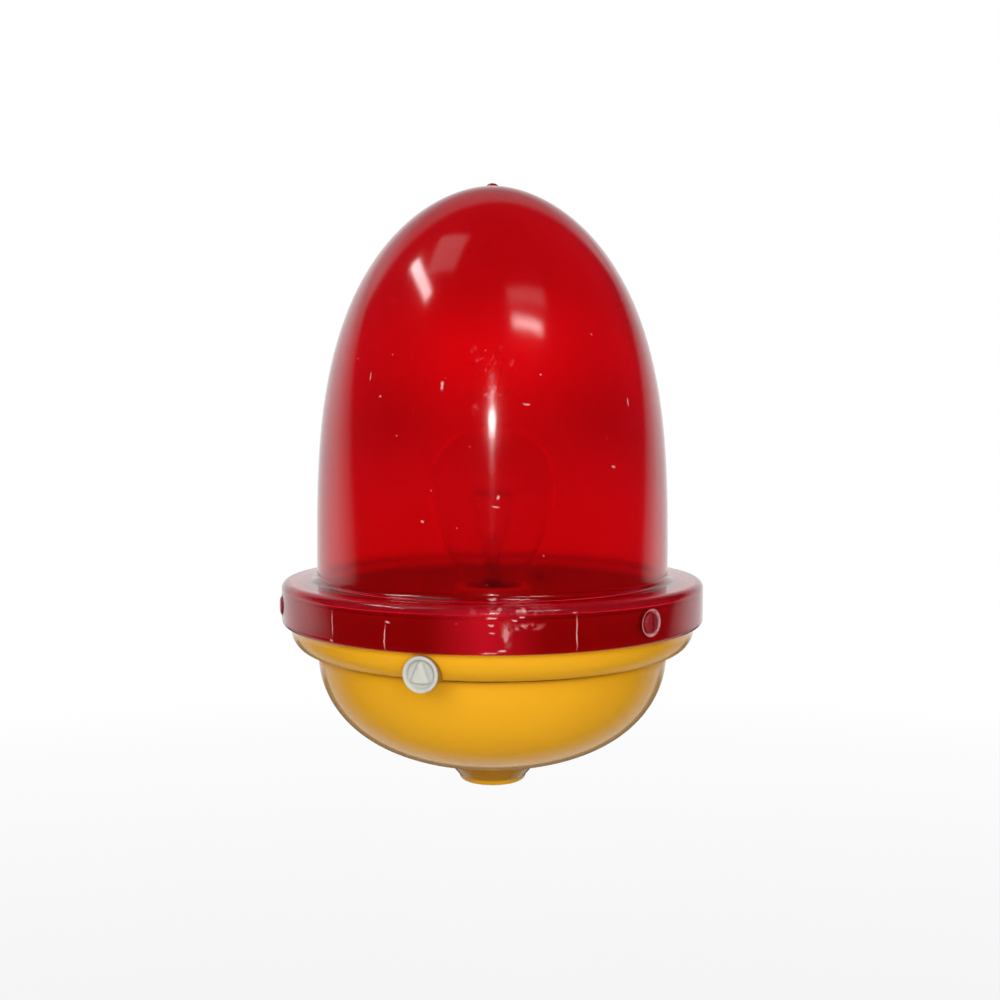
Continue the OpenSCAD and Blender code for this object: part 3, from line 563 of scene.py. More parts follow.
def makeLens():
    k = sizesOf(lens)
    outer = domeLine(k.domeR, k.domeH, 2 * math.asin(k.fillet / k.domeH), k.nubR)
    nubZ = outer[-1][1]
    inner = domeLine(k.domeR - k.wall, k.domeH - k.wall, 0.0, 0.4)
    outline = [(k.skirtIn, k.skirtLow + 0.5), (k.skirtIn + 0.5, k.skirtLow)]
    outline += arcPoints((k.skirtR - k.lowEdge, k.skirtLow + k.lowEdge), k.lowEdge, -90, 0, 8)
    outline += arcPoints((k.skirtR - k.topEdge, k.flangeTop - k.topEdge), k.topEdge, 0, 90, 10)
    outline += arcPoints((k.domeR + k.fillet, k.flangeTop + k.fillet), k.fillet, 270, 180, 10)
    outline += outer
    outline += arcPoints((0, nubZ), (k.nubR - 0.3, k.nubH), 0, 90, 6)
    outline[-1] = (0, nubZ + k.nubH)
    outline += [(0, inner[-1][1])] + inner[::-1]
    outline += [(k.domeR - k.wall, k.flangeLow + 0.6), (k.domeR - k.wall + 0.6, k.flangeLow)]
    outline += arcPoints((k.skirtIn - 1.2, k.flangeLow - 1.2), 1.2, 90, 0, 4)
    piece = turnPiece("lensDomeMoulding", outline + outline[:1], k.spinSteps)
    for angle in k.screwAngles:
        sink = turnPiece("screwSink", [
            (0, 94), (k.holeR, 94), (k.holeR, k.seatR), (k.sinkR, k.seatR), (k.sinkR, 99.3),
            (k.sinkLip, 100.0), (k.sinkLip + 1.4, 101.6), (0, 101.6)], 40)
        carve(piece, put(sink, (0, 0, k.screwZ), (0, 90, angle)))
    return settle(tidyFaces(piece), "lens_carrier", redLens, ["lens_dome"])


# screws, each modelled once and copied

screwSizes = {
    # head's radius and height, shank's radius and length, slot's width and depth, whether it has a cross slot
    "lens": (4.4, 2.2, 2.0, 11.6, 1.1, 1.0, False),
    "bracket": (3.6, 2.4, 2.0, 9.0, 1.0, 1.1, True),
    "holder": (2.8, 2.0, 1.5, 7.0, 0.8, 0.9, False),
    "terminal": (1.5, 1.6, 1.3, 3.0, 0.6, 0.8, False),
    "block": (2.5, 1.6, 1.3, 16.0, 0.7, 0.8, False),
    "earth": (3.9, 2.2, 2.0, 8.0, 1.0, 1.1, True),
}
screwPitch = 0.8


def makeScrew(kind, name):  # stands on Z, with the seat of its head at 0
    r, h, shankR, shank, slot, deep, cross = screwSizes[kind]
    outline = [(0, -shank), (shankR * 0.7, -shank), (shankR, -shank + screwPitch)]
    for i in range(int((shank - 2 * screwPitch) / screwPitch)):  # rolled thread as fine rings
        z = -shank + screwPitch + screwPitch * i
        outline += [(shankR, z + 0.25), (shankR - 0.25, z + 0.5)]
    outline += [(shankR, -0.4), (shankR, 0), (r - 0.25, 0), (r, 0.25), (r, h * 0.45)]
    outline += arcPoints((r * 0.45, h * 0.45), (r * 0.55, h * 0.55), 12, 90, 6) + [(0, h)]
    piece = turnPiece(name, outline, 40)
    carve(piece, makeBlock("slotCut", (-r * 1.2, -slot / 2, h - deep), (r * 1.2, slot / 2, h + 1)))
    if cross:
        carve(piece, makeBlock("slotCut", (-slot / 2, -r * 0.62, h - deep), (slot / 2, r * 0.62, h + 1)))
    return tidyFaces(piece)


def makeScrewSet(kind, name, places, body, finish, nodes):
    first = makeScrew(kind, name)
    copies = [copyOf(first, name + "Copy") for _ in places[1:]]
    for piece, (at, turned) in zip([first] + copies, places):
        put(piece, at, turned)
    return settle(gather(name, [first] + copies), body, finish, nodes)


makeLens()
lensScrewPlaces = []
for angle in lens["screwAngles"]:
    a = math.radians(angle)
    spot = (lens["seatR"] * math.cos(a), lens["seatR"] * math.sin(a), lens["screwZ"])
    lensScrewPlaces.append((spot, (0, 90, angle)))
makeScrewSet("lens", "lensScrewSet", lensScrewPlaces,
             "lens_carrier", redLacquer, ["lens_screws"])
print("lens and its screws made")


# collar: hollow casting under the skirt, with latch boss, tapped bosses and hinge lug

collar = {
    "footZ": 64.6, "footIn": 79.4, "footOut": 84.6, "bead": 11.2, "wallIn": 91.8, "seatZ": 92.4,
    "innerH": 7.2, "bossR": 7.0, "bossFrom": 77.5, "bossTo": 96.8, "boreR": 3.85, "tapR": 4.6,
    "tapFrom": 86.8, "tapTo": 92.8, "tapHoleR": 2.0, "lugHalf": 8.0, "lugOut": 95.4, "lugTop": 73.56,
    "hingeY": 93.5, "hingeZ": 59.0, "knuckleR": 4.6, "hingeHoleR": 2.1,
    "seal": ((91.9, 92.4), (95.7, 92.4), (95.8, 92.8), (95.8, 94.0), (95.6, 94.4), (92.0, 94.4),
             (91.8, 94.0), (91.8, 92.8), (91.9, 92.4)),
}


def makeCollar():
    k = sizesOf(collar)
    beadZ = k.footZ + k.bead
    outline = [(k.footIn, k.footZ + 0.5), (k.footIn + 0.5, k.footZ)]
    outline += arcPoints((k.footOut, beadZ), k.bead, -90, 0, 24)
    outline += [(k.footOut + k.bead, k.seatZ - 0.6), (k.footOut + k.bead - 0.6, k.seatZ)]
    outline += [(k.wallIn + 0.6, k.seatZ), (k.wallIn, k.seatZ - 0.6)]
    outline += arcPoints((k.footIn, beadZ), (k.wallIn - k.footIn, k.innerH), 0, -90, 16)
    piece = turnPiece("collarCasting", outline + outline[:1], 160)
    boss = put(makeDrum("boss", k.bossR, k.bossFrom, k.bossTo), (0, 0, latchZ), (90, 0, 0))
    softenEdges(boss, 0.6)
    carve(boss, makeBlock("under", (-20, -120, 40), (20, -60, k.footZ)))
    weld(piece, boss)
    for angle in lens["screwAngles"]:
        tap = softenEdges(makeDrum("tap", k.tapR, k.tapFrom, k.tapTo), 0.7)
        weld(piece, put(tap, (0, 0, lens["screwZ"]), (0, 90, angle)))
        drill(piece, k.tapHoleR, 84, 99, (0, 0, lens["screwZ"]), (0, 90, angle))
    y, z, r = k.hingeY, k.hingeZ, k.knuckleR
    knuckle = [(-k.lugHalf, b, c) for b, c in arcPoints((y, z), r, 180, 360, 16)]
    knuckle += [(-k.lugHalf, k.lugOut, k.lugTop), (-k.lugHalf, y - r, k.lugTop)]
    weld(piece, softenEdges(cutPlate("lug", knuckle, (2 * k.lugHalf, 0, 0)), 0.7))
    drill(piece, k.hingeHoleR, -20, 20, (0, y, z), (0, 90, 0))
    drill(piece, k.boreR, 70, 110, (0, 0, latchZ), (90, 0, 0))
    return settle(tidyFaces(piece), "lens_carrier", yellowPaint, ["collar_ring"])


makeCollar()
lensSeal = turnPiece("lensSealRing", collar["seal"], 128)
settle(lensSeal, "lens_carrier", paleRubber, ["lens_gasket"])
print("collar made")


# bowl: turned casting with conduit boss, rim groove, hinge ears and inside posts

bowl = {
    "rimZ": 63.8, "outR": 83.2, "outD": 54.0, "inR": 79.6, "inD": 50.4, "power": 2.1, "root": 2.45,
    "curveSteps": 44, "bossR": 16.0, "taper": 4.6, "fillet": 3.4, "bossEdge": 2.4, "boreR": 10.0,
    "boreTop": 15.0, "throatR": 8.0, "hubTop": 18.0, "rimBore": 75.8, "rimLow": 54.8, "ledgeDrop": 12.0,
    "grooveIn": 78.25, "grooveOut": 80.75, "grooveZ": 61.6, "threads": 8, "threadPitch": 1.5,
    "postX": 50.0, "postR": 5.0, "postTop": 46.0, "padTop": 26.0, "earthY": -42.0, "earthTop": 29.0,
    "earFrom": 8.3, "earTo": 14.3, "hingeHoleR": 2.05,
}


def bowlPoint(r, d, a):
    s = math.sin(a)
    return r * max(1 - s ** bowl["power"], 0) ** (1 / bowl["root"]), bowl["rimZ"] - d * s


def bowlAngle(r, at):  # angle at which the curve of radius r comes in to the radius given
    return math.asin((1 - (at / r) ** bowl["root"]) ** (1 / bowl["power"]))


def makeBowl():
    k = sizesOf(bowl)
    bossTop = k.bossR + k.taper
    endAngle = bowlAngle(k.outR, bossTop + k.fillet)
    count = k.curveSteps
    shell = [bowlPoint(k.outR, k.outD, endAngle * i / count) for i in range(count + 1)]
    edgeZ = shell[-1][1]
    outline = [(k.outR - 0.5, k.rimZ), (k.outR, k.rimZ - 0.01)] + shell[1:]
    outline += arcPoints((bossTop + k.fillet, edgeZ - k.fillet), k.fillet, 100, 180, 8)
    outline += arcPoints((k.bossR - k.bossEdge, k.bossEdge), k.bossEdge, 0, -90, 8)
    outline += [(k.boreR + 0.8, 0), (k.boreR, 0.8)]
    for i in range(k.threads):  # conduit thread as rings
        outline += [(k.boreR, 1.4 + k.threadPitch * i), (k.boreR + 0.7, 2.1 + k.threadPitch * i)]
    outline += [(k.boreR, 13.4), (k.boreR, k.boreTop), (k.throatR, k.boreTop)]
    outline += [(k.throatR, k.hubTop - 0.8), (k.throatR + 0.8, k.hubTop)]
    outline += [(k.bossR - 1, k.hubTop), (k.bossR, k.hubTop - 1)]
    low, high = bowlAngle(k.inR, k.bossR + 0.6), math.asin(k.ledgeDrop / k.inD)
    outline += [bowlPoint(k.inR, k.inD, low + (high - low) * i / count) for i in range(count + 1)]
    outline += [(k.rimBore, k.rimLow), (k.rimBore, k.rimZ - 0.5), (k.rimBore + 0.5, k.rimZ)]
    outline += [(k.grooveIn, k.rimZ), (k.grooveIn, k.grooveZ)]
    outline += [(k.grooveOut, k.grooveZ), (k.grooveOut, k.rimZ)]
    piece = turnPiece("bowlCasting", outline + outline[:1], 160)
    solid = turnPiece("bowlSolid", [(0, 75), (k.outR - 1, 75), (k.outR - 1.2, k.rimZ)]
                      + [(r - 1.2, z + 0.8) for r, z in shell[1:]] + [(0, edgeZ)], 96)
    posts = []
    for side in (-1, 1):
        post = turnPiece("post", [
            (0, 8), (9, 8), (9, 20), (7, 26), (5.6, 31), (k.postR, 36), (k.postR, k.postTop - 0.5),
            (k.postR - 0.5, k.postTop), (0, k.postTop)], 40)
        posts.append(put(post, (side * k.postX, 0, 0)))
    pad = softenEdges(makeBlock("terminalPad", (-16, 31, 5), (16, 45, k.padTop)), 1.2, 3)
    earth = turnPiece("earthPad", [(0, 5), (9, 5), (7.6, 24), (6.2, 28), (6, k.earthTop - 0.5),
                                   (5.5, k.earthTop), (0, k.earthTop)], 40)
    for extra in posts + [pad, put(earth, (0, k.earthY, 0))]:
        weld(piece, combine(extra, "INTERSECT", [copyOf(solid, "mould")]))
    bpy.data.objects.remove(solid)
    y, z, r = collar["hingeY"], collar["hingeZ"], collar["knuckleR"]
    side = [(77.2, 46.0), (y, z - r)] + arcPoints((y, z), r, -80, 80, 14) + [(y, z + r), (79.6, 61.4)]
    for low in (-k.earTo, k.earFrom):
        ear = cutPlate("ear", [(low, b, c) for b, c in side], (k.earTo - k.earFrom, 0, 0))
        weld(piece, softenEdges(ear, 0.6))
    drill(piece, k.hingeHoleR, -30, 30, (0, y, z), (0, 90, 0))
    return settle(tidyFaces(piece), "base", yellowPaint, ["base_bowl"])


makeBowl()
rimSeal = turnPiece("rimSealRing", [(78.3, 61.6), (80.7, 61.6), (80.7, 63.7)]
                    + arcPoints((79.5, 63.6), (1.2, 0.95), 10, 170, 8) + [(78.3, 63.7), (78.3, 61.6)], 128)
settle(rimSeal, "base", blackRubber, ["rim_gasket"])
print("bowl made")


# hinge: pin with rounded ends and two push-on clips

hinge = {"pinR": 2.0, "half": 16.3, "clipFrom": 14.5, "clipTo": 15.4, "clipR": 3.6}


def makeHinge():
    k = sizesOf(hinge)
    at = (0, collar["hingeY"], collar["hingeZ"])
    pin = softenEdges(makeDrum("hingePinRod", k.pinR, -k.half, k.half, 40), 0.5, 3)
    settle(put(pin, at, (0, 90, 0)), "base", plainSteel, ["hinge_pin"])
    clips = []
    for side in (-1, 1):
        low, high = sorted((side * k.clipFrom, side * k.clipTo))
        clip = turnPiece("clip", [(k.pinR, low), (k.clipR - 0.2, low), (k.clipR, low + 0.2),
                                  (k.clipR, high - 0.2), (k.clipR - 0.2, high), (k.pinR, high),
                                  (k.pinR, low)], 40)
        carve(clip, makeBlock("gap", (-0.6, 1.5, low - 1), (0.6, 5, high + 1)))
        clips.append(put(clip, at, (0, 90, 0)))
    settle(gather("hingeClipPair", clips), "base", darkSteel, ["hinge_clips"])


makeHinge()
print("hinge made")


# latch: knob outside, shaft through the boss, hook cam inside that turns under the keeper

knob = {
    "r": 7.75, "thick": 3.0, "backY": -96.95, "dishR": 6.45, "dish": 1.3,
    "gripSteps": ((0.6, 1.0), (1.15, 0.86), (0.3, 0.93), (0.15, 0.9)),
    "grip": ((0, 5.85), (1.0, 5.2), (1.9, 3.6), (2.9, 1.0), (3.9, -1.4), (4.56, -2.93), (4.1, -3.55),
             (2.6, -4.0), (0, -4.21)),
}


def makeKnob():
    k = sizesOf(knob)
    floor = k.thick - k.dish
    outline = [(0, 0), (k.r - 0.8, 0)] + arcPoints((k.r - 0.8, 0.8), 0.8, -90, 0, 5)
    outline += arcPoints((k.r - 0.75, k.thick - 0.75), 0.75, 0, 90, 6)
    outline += [(k.dishR + 0.25, k.thick), (k.dishR, k.thick - 0.15), (k.dishR - 0.35, floor + 0.5)]
    outline += arcPoints((k.dishR - 1.2, floor + 0.7), (0.8, 0.7), -20, -90, 5) + [(0, floor - 0.1)]
    piece = turnPiece("latchKnobCap", outline, 96)
    left = tuple((-x, y) for x, y in k.grip[-2:0:-1])
    grip = drawLine("grip", [(x, y, floor - 0.6) for x, y in k.grip + left])
    bpy.ops.mesh.select_all(action="SELECT")
    bpy.ops.mesh.edge_face_add()
    for rise, narrow in k.gripSteps:  # sides lean in, then round over
        bpy.ops.mesh.extrude_region_move(TRANSFORM_OT_translate={"value": (0, 0, rise * mm)})
        bpy.ops.transform.resize(value=(narrow, narrow, 1), center_override=(0, -0.8 * mm, 0))
    closeUp()
    weld(piece, grip)
    put(tidyFaces(piece), (0, k.backY, latchZ), (90, 0, 0))
    return settle(piece, "latch", creamNylon, ["latch_knob"], 40)


latch = {
    "bushFrom": 76.0, "bushTo": 96.8, "bushR": 3.8, "flangeR": 4.8, "flangeT": 1.5, "shaftR": 2.5,
    "shaftEnd": 97.0, "studR": 1.6, "studEnd": 65.75, "nutR": 4.0, "nutFrom": 66.75, "camFrom": 69.75,
    "camTo": 72.75, "hubR": 6.0, "jawR": 17.5, "slotIn": 9.5, "slotOut": 14.5, "jawStart": 16, "jawEnd": -66,
    "spring": ((2.55, 72.8), (3.55, 72.8), (4.6, 75.55), (4.6, 75.95), (3.6, 75.95), (2.55, 73.2),
               (2.55, 72.8)),
    "keeper": (2.2, 68.95, 79.6), "keeperZ": 57.4,
}


def toLatch(piece):  # drawn with Z outwards from the lamp's middle
    return put(piece, (0, 0, latchZ), (90, 0, 0))


def makeLatch():
    k = sizesOf(latch)
    bush = turnPiece("latchBushSleeve", [
        (k.shaftR + 0.05, k.bushFrom), (k.flangeR - 0.3, k.bushFrom), (k.flangeR, k.bushFrom + 0.3),
        (k.flangeR, k.bushFrom + k.flangeT), (k.bushR, k.bushFrom + k.flangeT),
        (k.bushR, k.bushTo - 0.3), (k.bushR - 0.3, k.bushTo), (k.shaftR + 0.05, k.bushTo),
        (k.shaftR + 0.05, k.bushFrom)], 48)
    settle(toLatch(bush), "lens_carrier", creamNylon, ["latch_bush"])
    rod = [(0, k.studEnd), (k.studR - 0.4, k.studEnd), (k.studR, k.studEnd + 0.4)]
    rod += [(k.studR - 0.15 * (i % 2), k.studEnd + 0.6 + 0.3 * i) for i in range(10)]
    rod += [(k.studR, k.camFrom), (k.shaftR, k.camFrom), (k.shaftR, k.shaftEnd), (0, k.shaftEnd)]
    settle(toLatch(turnPiece("latchShaftRod", rod, 40)), "latch", plainSteel, ["latch_shaft"])
    cone = turnPiece("latchConeSpring", k.spring, 48)
    settle(toLatch(cone), "latch", plainSteel, ["latch_spring"])
    edge = arcPoints((0, 0), k.jawR, k.jawStart, k.jawEnd, 26)
    edge += arcPoints((0, 0), k.slotOut, k.jawEnd, 0, 22)
    edge += arcPoints(((k.slotIn + k.slotOut) / 2, 0), (k.slotOut - k.slotIn) / 2, 0, 180, 12)[1:]
    edge += arcPoints((0, 0), k.slotIn, 0, k.jawEnd, 18)[1:]
    edge += arcPoints((0, 0), k.hubR, k.jawEnd, k.jawStart - 360, 36)
    cam = cutPlate("latchHookCam", [(x, y, k.camFrom) for x, y in edge], (0, 0, k.camTo - k.camFrom))
    softenEdges(cam, 0.35, 2, 50)
    settle(toLatch(cam), "latch", plainSteel, ["latch_cam"])
    nut = makeDrum("latchNutHex", k.nutR, k.nutFrom, k.camFrom, 6)
    barrel = turnPiece("barrel", [
        (0, k.nutFrom), (k.nutR * 0.86, k.nutFrom), (k.nutR + 0.05, k.nutFrom + 0.6),
        (k.nutR + 0.05, k.camFrom), (0, k.camFrom)], 48)
    combine(nut, "INTERSECT", [barrel])
    drill(nut, k.studR, 60, 80)
    settle(toLatch(tidyFaces(nut)), "latch", plainSteel, ["latch_nut"])
    keeper = softenEdges(makeDrum("keeperPinRod", *k.keeper, 40), 0.4, 3)
    settle(put(keeper, (0, 0, k.keeperZ), (90, 0, 0)), "base", plainSteel, ["keeper_pin"])


makeKnob()
makeLatch()
print("latch made")


# bridge across the bowl, folded from sheet, that carries the lampholder

bridge = {
    "halfX": 55, "halfY": 13, "low": 46, "top": 48, "corner": 4, "soften": (0.4, 2, 60),
    "fluteHalf": 43, "fluteY": 11.88, "fluteT": 0.86, "fluteLow": 40, "sunk": 0.6,
    "holes": ((50, 2.2), (18, 1.7), (9, 2.7)),
}


def makeBridge():
    k = sizesOf(bridge)
    edge = []
    for sideX, sideY, start in ((1, -1, -90), (1, 1, 0), (-1, 1, 90), (-1, -1, 180)):
        middle = (sideX * (k.halfX - k.corner), sideY * (k.halfY - k.corner))
        edge += arcPoints(middle, k.corner, start, start + 90, 6)
    piece = cutPlate("lampBridgeSheet", [(x, y, k.low) for x, y in edge], (0, 0, k.top - k.low))
    softenEdges(tidyFaces(piece), *k.soften)
    for side in (-1, 1):
        flute = makeBlock("flute", (-k.fluteHalf, side * k.fluteY - k.fluteT, k.fluteLow),
                          (k.fluteHalf, side * k.fluteY + k.fluteT, k.top - k.sunk))
        weld(piece, softenEdges(flute, *k.soften))
    for x, r in k.holes:
        for side in (-1, 1):
            drill(piece, r, 40, 55, (side * x, 0, 0), sides=32)
    settle(tidyFaces(piece), "base", zincSheet, ["lamp_bracket"])
    spots = [((-50, 0, k.top), (0, 0, 20)), ((50, 0, k.top), (0, 0, -35))]
    makeScrewSet("bracket", "bridgeScrewPair", spots, "base", plainSteel, ["bracket_screws"])


makeBridge()
print("bridge made")


# lampholder: glazed body, threaded brass shell, sprung contact, screws from below

holder = {
    "footR": 23.0, "footZ": 48.0, "shoulderZ": 55.0, "neckR": 21.0, "lipR": 18.75, "lipZ": 92.0,
    "topR": 16.75, "topZ": 94.0, "boreR": 14.75, "floorZ": 64.0, "shellOut": 14.45, "shellIn": 13.65,
    "shellTop": 91.0, "shellLip": 10.45, "pitch": 3.6, "threadLow": 66.5, "screwX": 18.0, "wireX": 9.0,
    "screwHoleR": 1.6, "wireHoleR": 1.7, "leaf": (8.45, 3, 0.8),
    "button": ((0, 64.4), (3, 64.4), (3, 65.4), (2.6, 66.1), (1.6, 66.5), (0, 66.6)),
}


def makeThread(name, crest, root, pitch, low, turns, steps=48):  # one pitch of wave, wound upwards
    middle, swing = (crest + root) / 2, (crest - root) / 2
    wave = []
    for i in range(9):
        wave.append((middle - swing * math.cos(math.tau * i / 8), 0, low + pitch * i / 8))
    piece = drawLine(name, wave)
    bpy.ops.object.mode_set(mode="OBJECT")
    applyAs(piece, "SCREW", axis="Z", angle=math.tau, screw_offset=pitch * mm, iterations=turns, steps=steps,
            render_steps=steps, use_merge_vertices=True, merge_threshold=0.005 * mm)
    applyAs(piece, "SOLIDIFY", thickness=0.2 * mm, offset=0)
    return tidyFaces(piece)


def makeHolder():
    k = sizesOf(holder)
    outline = [(0, k.footZ), (k.footR - 1, k.footZ), (k.footR, k.footZ + 1)]
    outline += arcPoints((k.footR - 1, k.shoulderZ - 1), 1, 0, 80, 4)
    outline += arcPoints((k.neckR + 1.2, k.shoulderZ + 1.9), (1.2, 1.7), 260, 190, 4)
    outline += [(k.neckR - 0.1, k.shoulderZ + 3)]
    outline += arcPoints((k.topR, k.lipZ), (k.lipR - k.topR, k.topZ - k.lipZ), 0, 90, 6)
    outline += arcPoints((k.boreR + 0.7, k.topZ - 0.7), 0.7, 90, 180, 4)
    outline += [(k.boreR, k.floorZ + 0.6), (k.boreR - 0.6, k.floorZ), (0, k.floorZ)]
    body = turnPiece("holderBodyGlazed", outline, 96)
    for side in (-1, 1):
        drill(body, k.screwHoleR, 40, 57, (side * k.screwX, 0, 0), sides=24)
        drill(body, k.wireHoleR, 40, 62, (side * k.wireX, 0, 0), sides=24)
    settle(tidyFaces(body), "base", porcelain, ["holder_body"])
    ring = turnPiece("shellSleeve", [
        (k.shellLip, k.floorZ), (k.shellOut, k.floorZ), (k.shellOut, k.shellTop - 0.2),
        (k.shellOut - 0.15, k.shellTop), (k.shellOut - 0.3, k.shellTop - 0.2),
        (k.shellOut - 0.3, k.floorZ + 0.8), (k.shellLip, k.floorZ + 0.8), (k.shellLip, k.floorZ)], 96)
    thread = makeThread("shellThread", k.shellIn + 0.05, k.shellOut - 0.28, k.pitch, k.threadLow, 5)
    shell = gather("holderShellThreaded", [ring, thread])
    settle(shell, "base", brass, ["holder_shell"], 45)
    x, y, thick = k.leaf
    leaf = softenEdges(makeBlock("leaf", (-x, -y, k.floorZ), (x, y, k.floorZ + thick)), 0.25)
    weld(leaf, turnPiece("button", k.button, 40))
    settle(tidyFaces(leaf), "base", brass, ["holder_contact"])
    nameIt(leaf, "holderContactLeaf")
    spots = [((-k.screwX, 0, bridge["low"]), (180, 0, 0)), ((k.screwX, 0, bridge["low"]), (180, 0, 50))]
    makeScrewSet("holder", "holderScrewPair", spots, "base", plainSteel, ["holder_screws"])


makeHolder()
print("lampholder made")


# terminals and the leads that stay inside the bowl

terminals = {
    "low": (-16, 31, 26), "high": (16, 45, 39), "pitch": 32 / 3, "midY": 38.0, "wireZ": 31.0, "wireR": 1.7,
    "screwY": 3.5, "screwR": 1.8, "screwSeat": 35.4,
}


def makeTerminals():
    k = sizesOf(terminals)
    piece = makeBlock("terminalBlockMoulding", k.low, k.high)
    softenEdges(piece, 0.6, 3)
    rows = [-k.pitch, 0, k.pitch]
    for side in (-0.5, 0.5):  # grooves between the ways
        x = side * k.pitch
        carve(piece, makeBlock("groove", (x - 0.7, 30, 36), (x + 0.7, 34.6, 40)),
              makeBlock("groove", (x - 0.7, 41.4, 36), (x + 0.7, 46, 40)))
    for x in rows:
        drill(piece, k.wireR, -46, -30, (x, 0, k.wireZ), (90, 0, 0), 24)
        for side in (-1, 1):
            drill(piece, k.screwR, 31.5, 42, (x, k.midY + side * k.screwY, 0), sides=24)
    settle(tidyFaces(piece), "base", palePlastic, ["terminal_block"])
    spots = []
    for i, x in enumerate(rows):
        for side in (-1, 1):
            spots.append(((x, k.midY + side * k.screwY, k.screwSeat), (0, 0, 37 * i + 50 * side)))
    makeScrewSet("terminal", "terminalScrewSet", spots, "base", brass, ["terminal_screws"])
    spots = [((side * k.pitch / 2, k.midY, k.high[2]), (0, 0, turn)) for side, turn in ((-1, 15), (1, 70))]
    makeScrewSet("block", "blockScrewPair", spots, "base", plainSteel, ["block_screws"])


leads = {
    "r": 1.3, "steps": 20,
    # start in the terminal, four points that bend the lead, end
    "live": ((-10.667, 42, 31), (-10.667, 31, 31), (-10.667, 16, 31), (-9, 0, 27), (-9, 0, 42), (-9, 0, 54)),
    "neutral": ((10.667, 42, 31), (10.667, 31, 31), (10.667, 16, 31), (9, 0, 27), (9, 0, 42), (9, 0, 54)),
    "earth": ((0, 42, 31), (0, 31, 31), (0, 8, 22), (0, -14, 22.6), (0, -32, 31.6), (0, -36.4, 31.6)),
}
earthTag = {
    "ring": ((2.1, 29), (4.2, 29), (4.4, 29.2), (4.4, 29.6), (4.2, 29.8), (2.1, 29.8), (2.1, 29)),
    "tongue": ((-38.4, 29.1), (-38.4, 29.7), (-37.2, 31.2), (-36.6, 33.2), (-35.9, 33.2), (-35.9, 30.2),
               (-36.8, 30.0), (-37.4, 29.1)),
    "barrel": ((1.35, 31), (1.75, 31), (1.9, 31.2), (1.9, 32.6), (1.65, 33), (1.65, 34), (1.9, 34.4),
               (1.9, 36), (1.35, 36.3), (1.35, 31)),
    "half": 1.7, "crimpZ": 31.6, "top": 29.2,
}


def makeLead(way, name, finish, node):
    start, *bend, end = leads[way]
    points = [start] + bezierPoints(*bend, leads["steps"]) + [end]
    settle(drawTube(name, points, leads["r"], 5), "base", finish, [node], 60)


def makeEarth():  # ring tag crimped on the lead, held by the screw on the casting's pad
    k = sizesOf(earthTag)
    ring = put(turnPiece("earthTag", k.ring, 40), (0, bowl["earthY"], 0))
    tongue = softenEdges(cutPlate("tongue", [(-k.half, y, z) for y, z in k.tongue], (2 * k.half, 0, 0)), 0.2)
    barrel = put(turnPiece("barrel", k.barrel, 32), (0, 0, k.crimpZ), (90, 0, 0))
    settle(tidyFaces(weld(ring, tongue, barrel)), "base", plainSteel)
    nameIt(ring, "earthRingTag")
    spots = [((0, bowl["earthY"], k.top), (0, 0, 30))]
    makeScrewSet("earth", "earthScrewHead", spots, "base", brass, ["earth_screw"])


makeTerminals()
makeLead("live", "liveLeadSleeve", brownSleeve, "live_lead")
makeLead("neutral", "neutralLeadSleeve", blueSleeve, "neutral_lead")
makeLead("earth", "earthLeadSleeve", earthStripe, "earth_lead")
makeEarth()
print("terminals and leads made")


# lamp: clear envelope on a threaded cap, stem, wires and coiled filament

bulb = {
    "neckR": 12.0, "neckLow": 84.1, "neckTop": 93.1, "r": 30.0, "midZ": 141.9, "wall": 0.8,
    "capR": 13.2, "capLow": 72.1, "capTop": 92.1, "thread": 0.6, "threadLow": 73.0, "pitch": 3.6,
    "coilR": 1.3, "wireR": 0.18, "turns": 14, "turnSteps": 14, "half": 9.25, "coilZ": 137.9, "legR": 0.36,
    "stem": ((0, 85.2), (10.4, 84.1), (11.1, 84.3), (9.6, 86.4), (6.4, 90.2), (4.0, 95.5), (2.8, 101),
             (2.4, 107), (2.4, 116.4), (2.9, 117.2), (2.2, 118), (0, 118.1)),
    "leg": ((2.9, 98.1), (2.9, 106.1), (4, 112), (9.7, 136), (10, 137.5), (9.6, 137.9)),
    "insulator": ((0, 68.9), (5.2, 68.9), (5.6, 69.2), (8.4, 70.1), (9.0, 70.1), (11.4, 71.6), (11.6, 72.1),
                  (0, 72.1)),
    "contact": ((0, 66.9), (1.6, 66.95), (2.8, 67.3), (3.6, 68.0), (4.2, 68.5), (4.4, 68.9), (0, 68.9)),
}


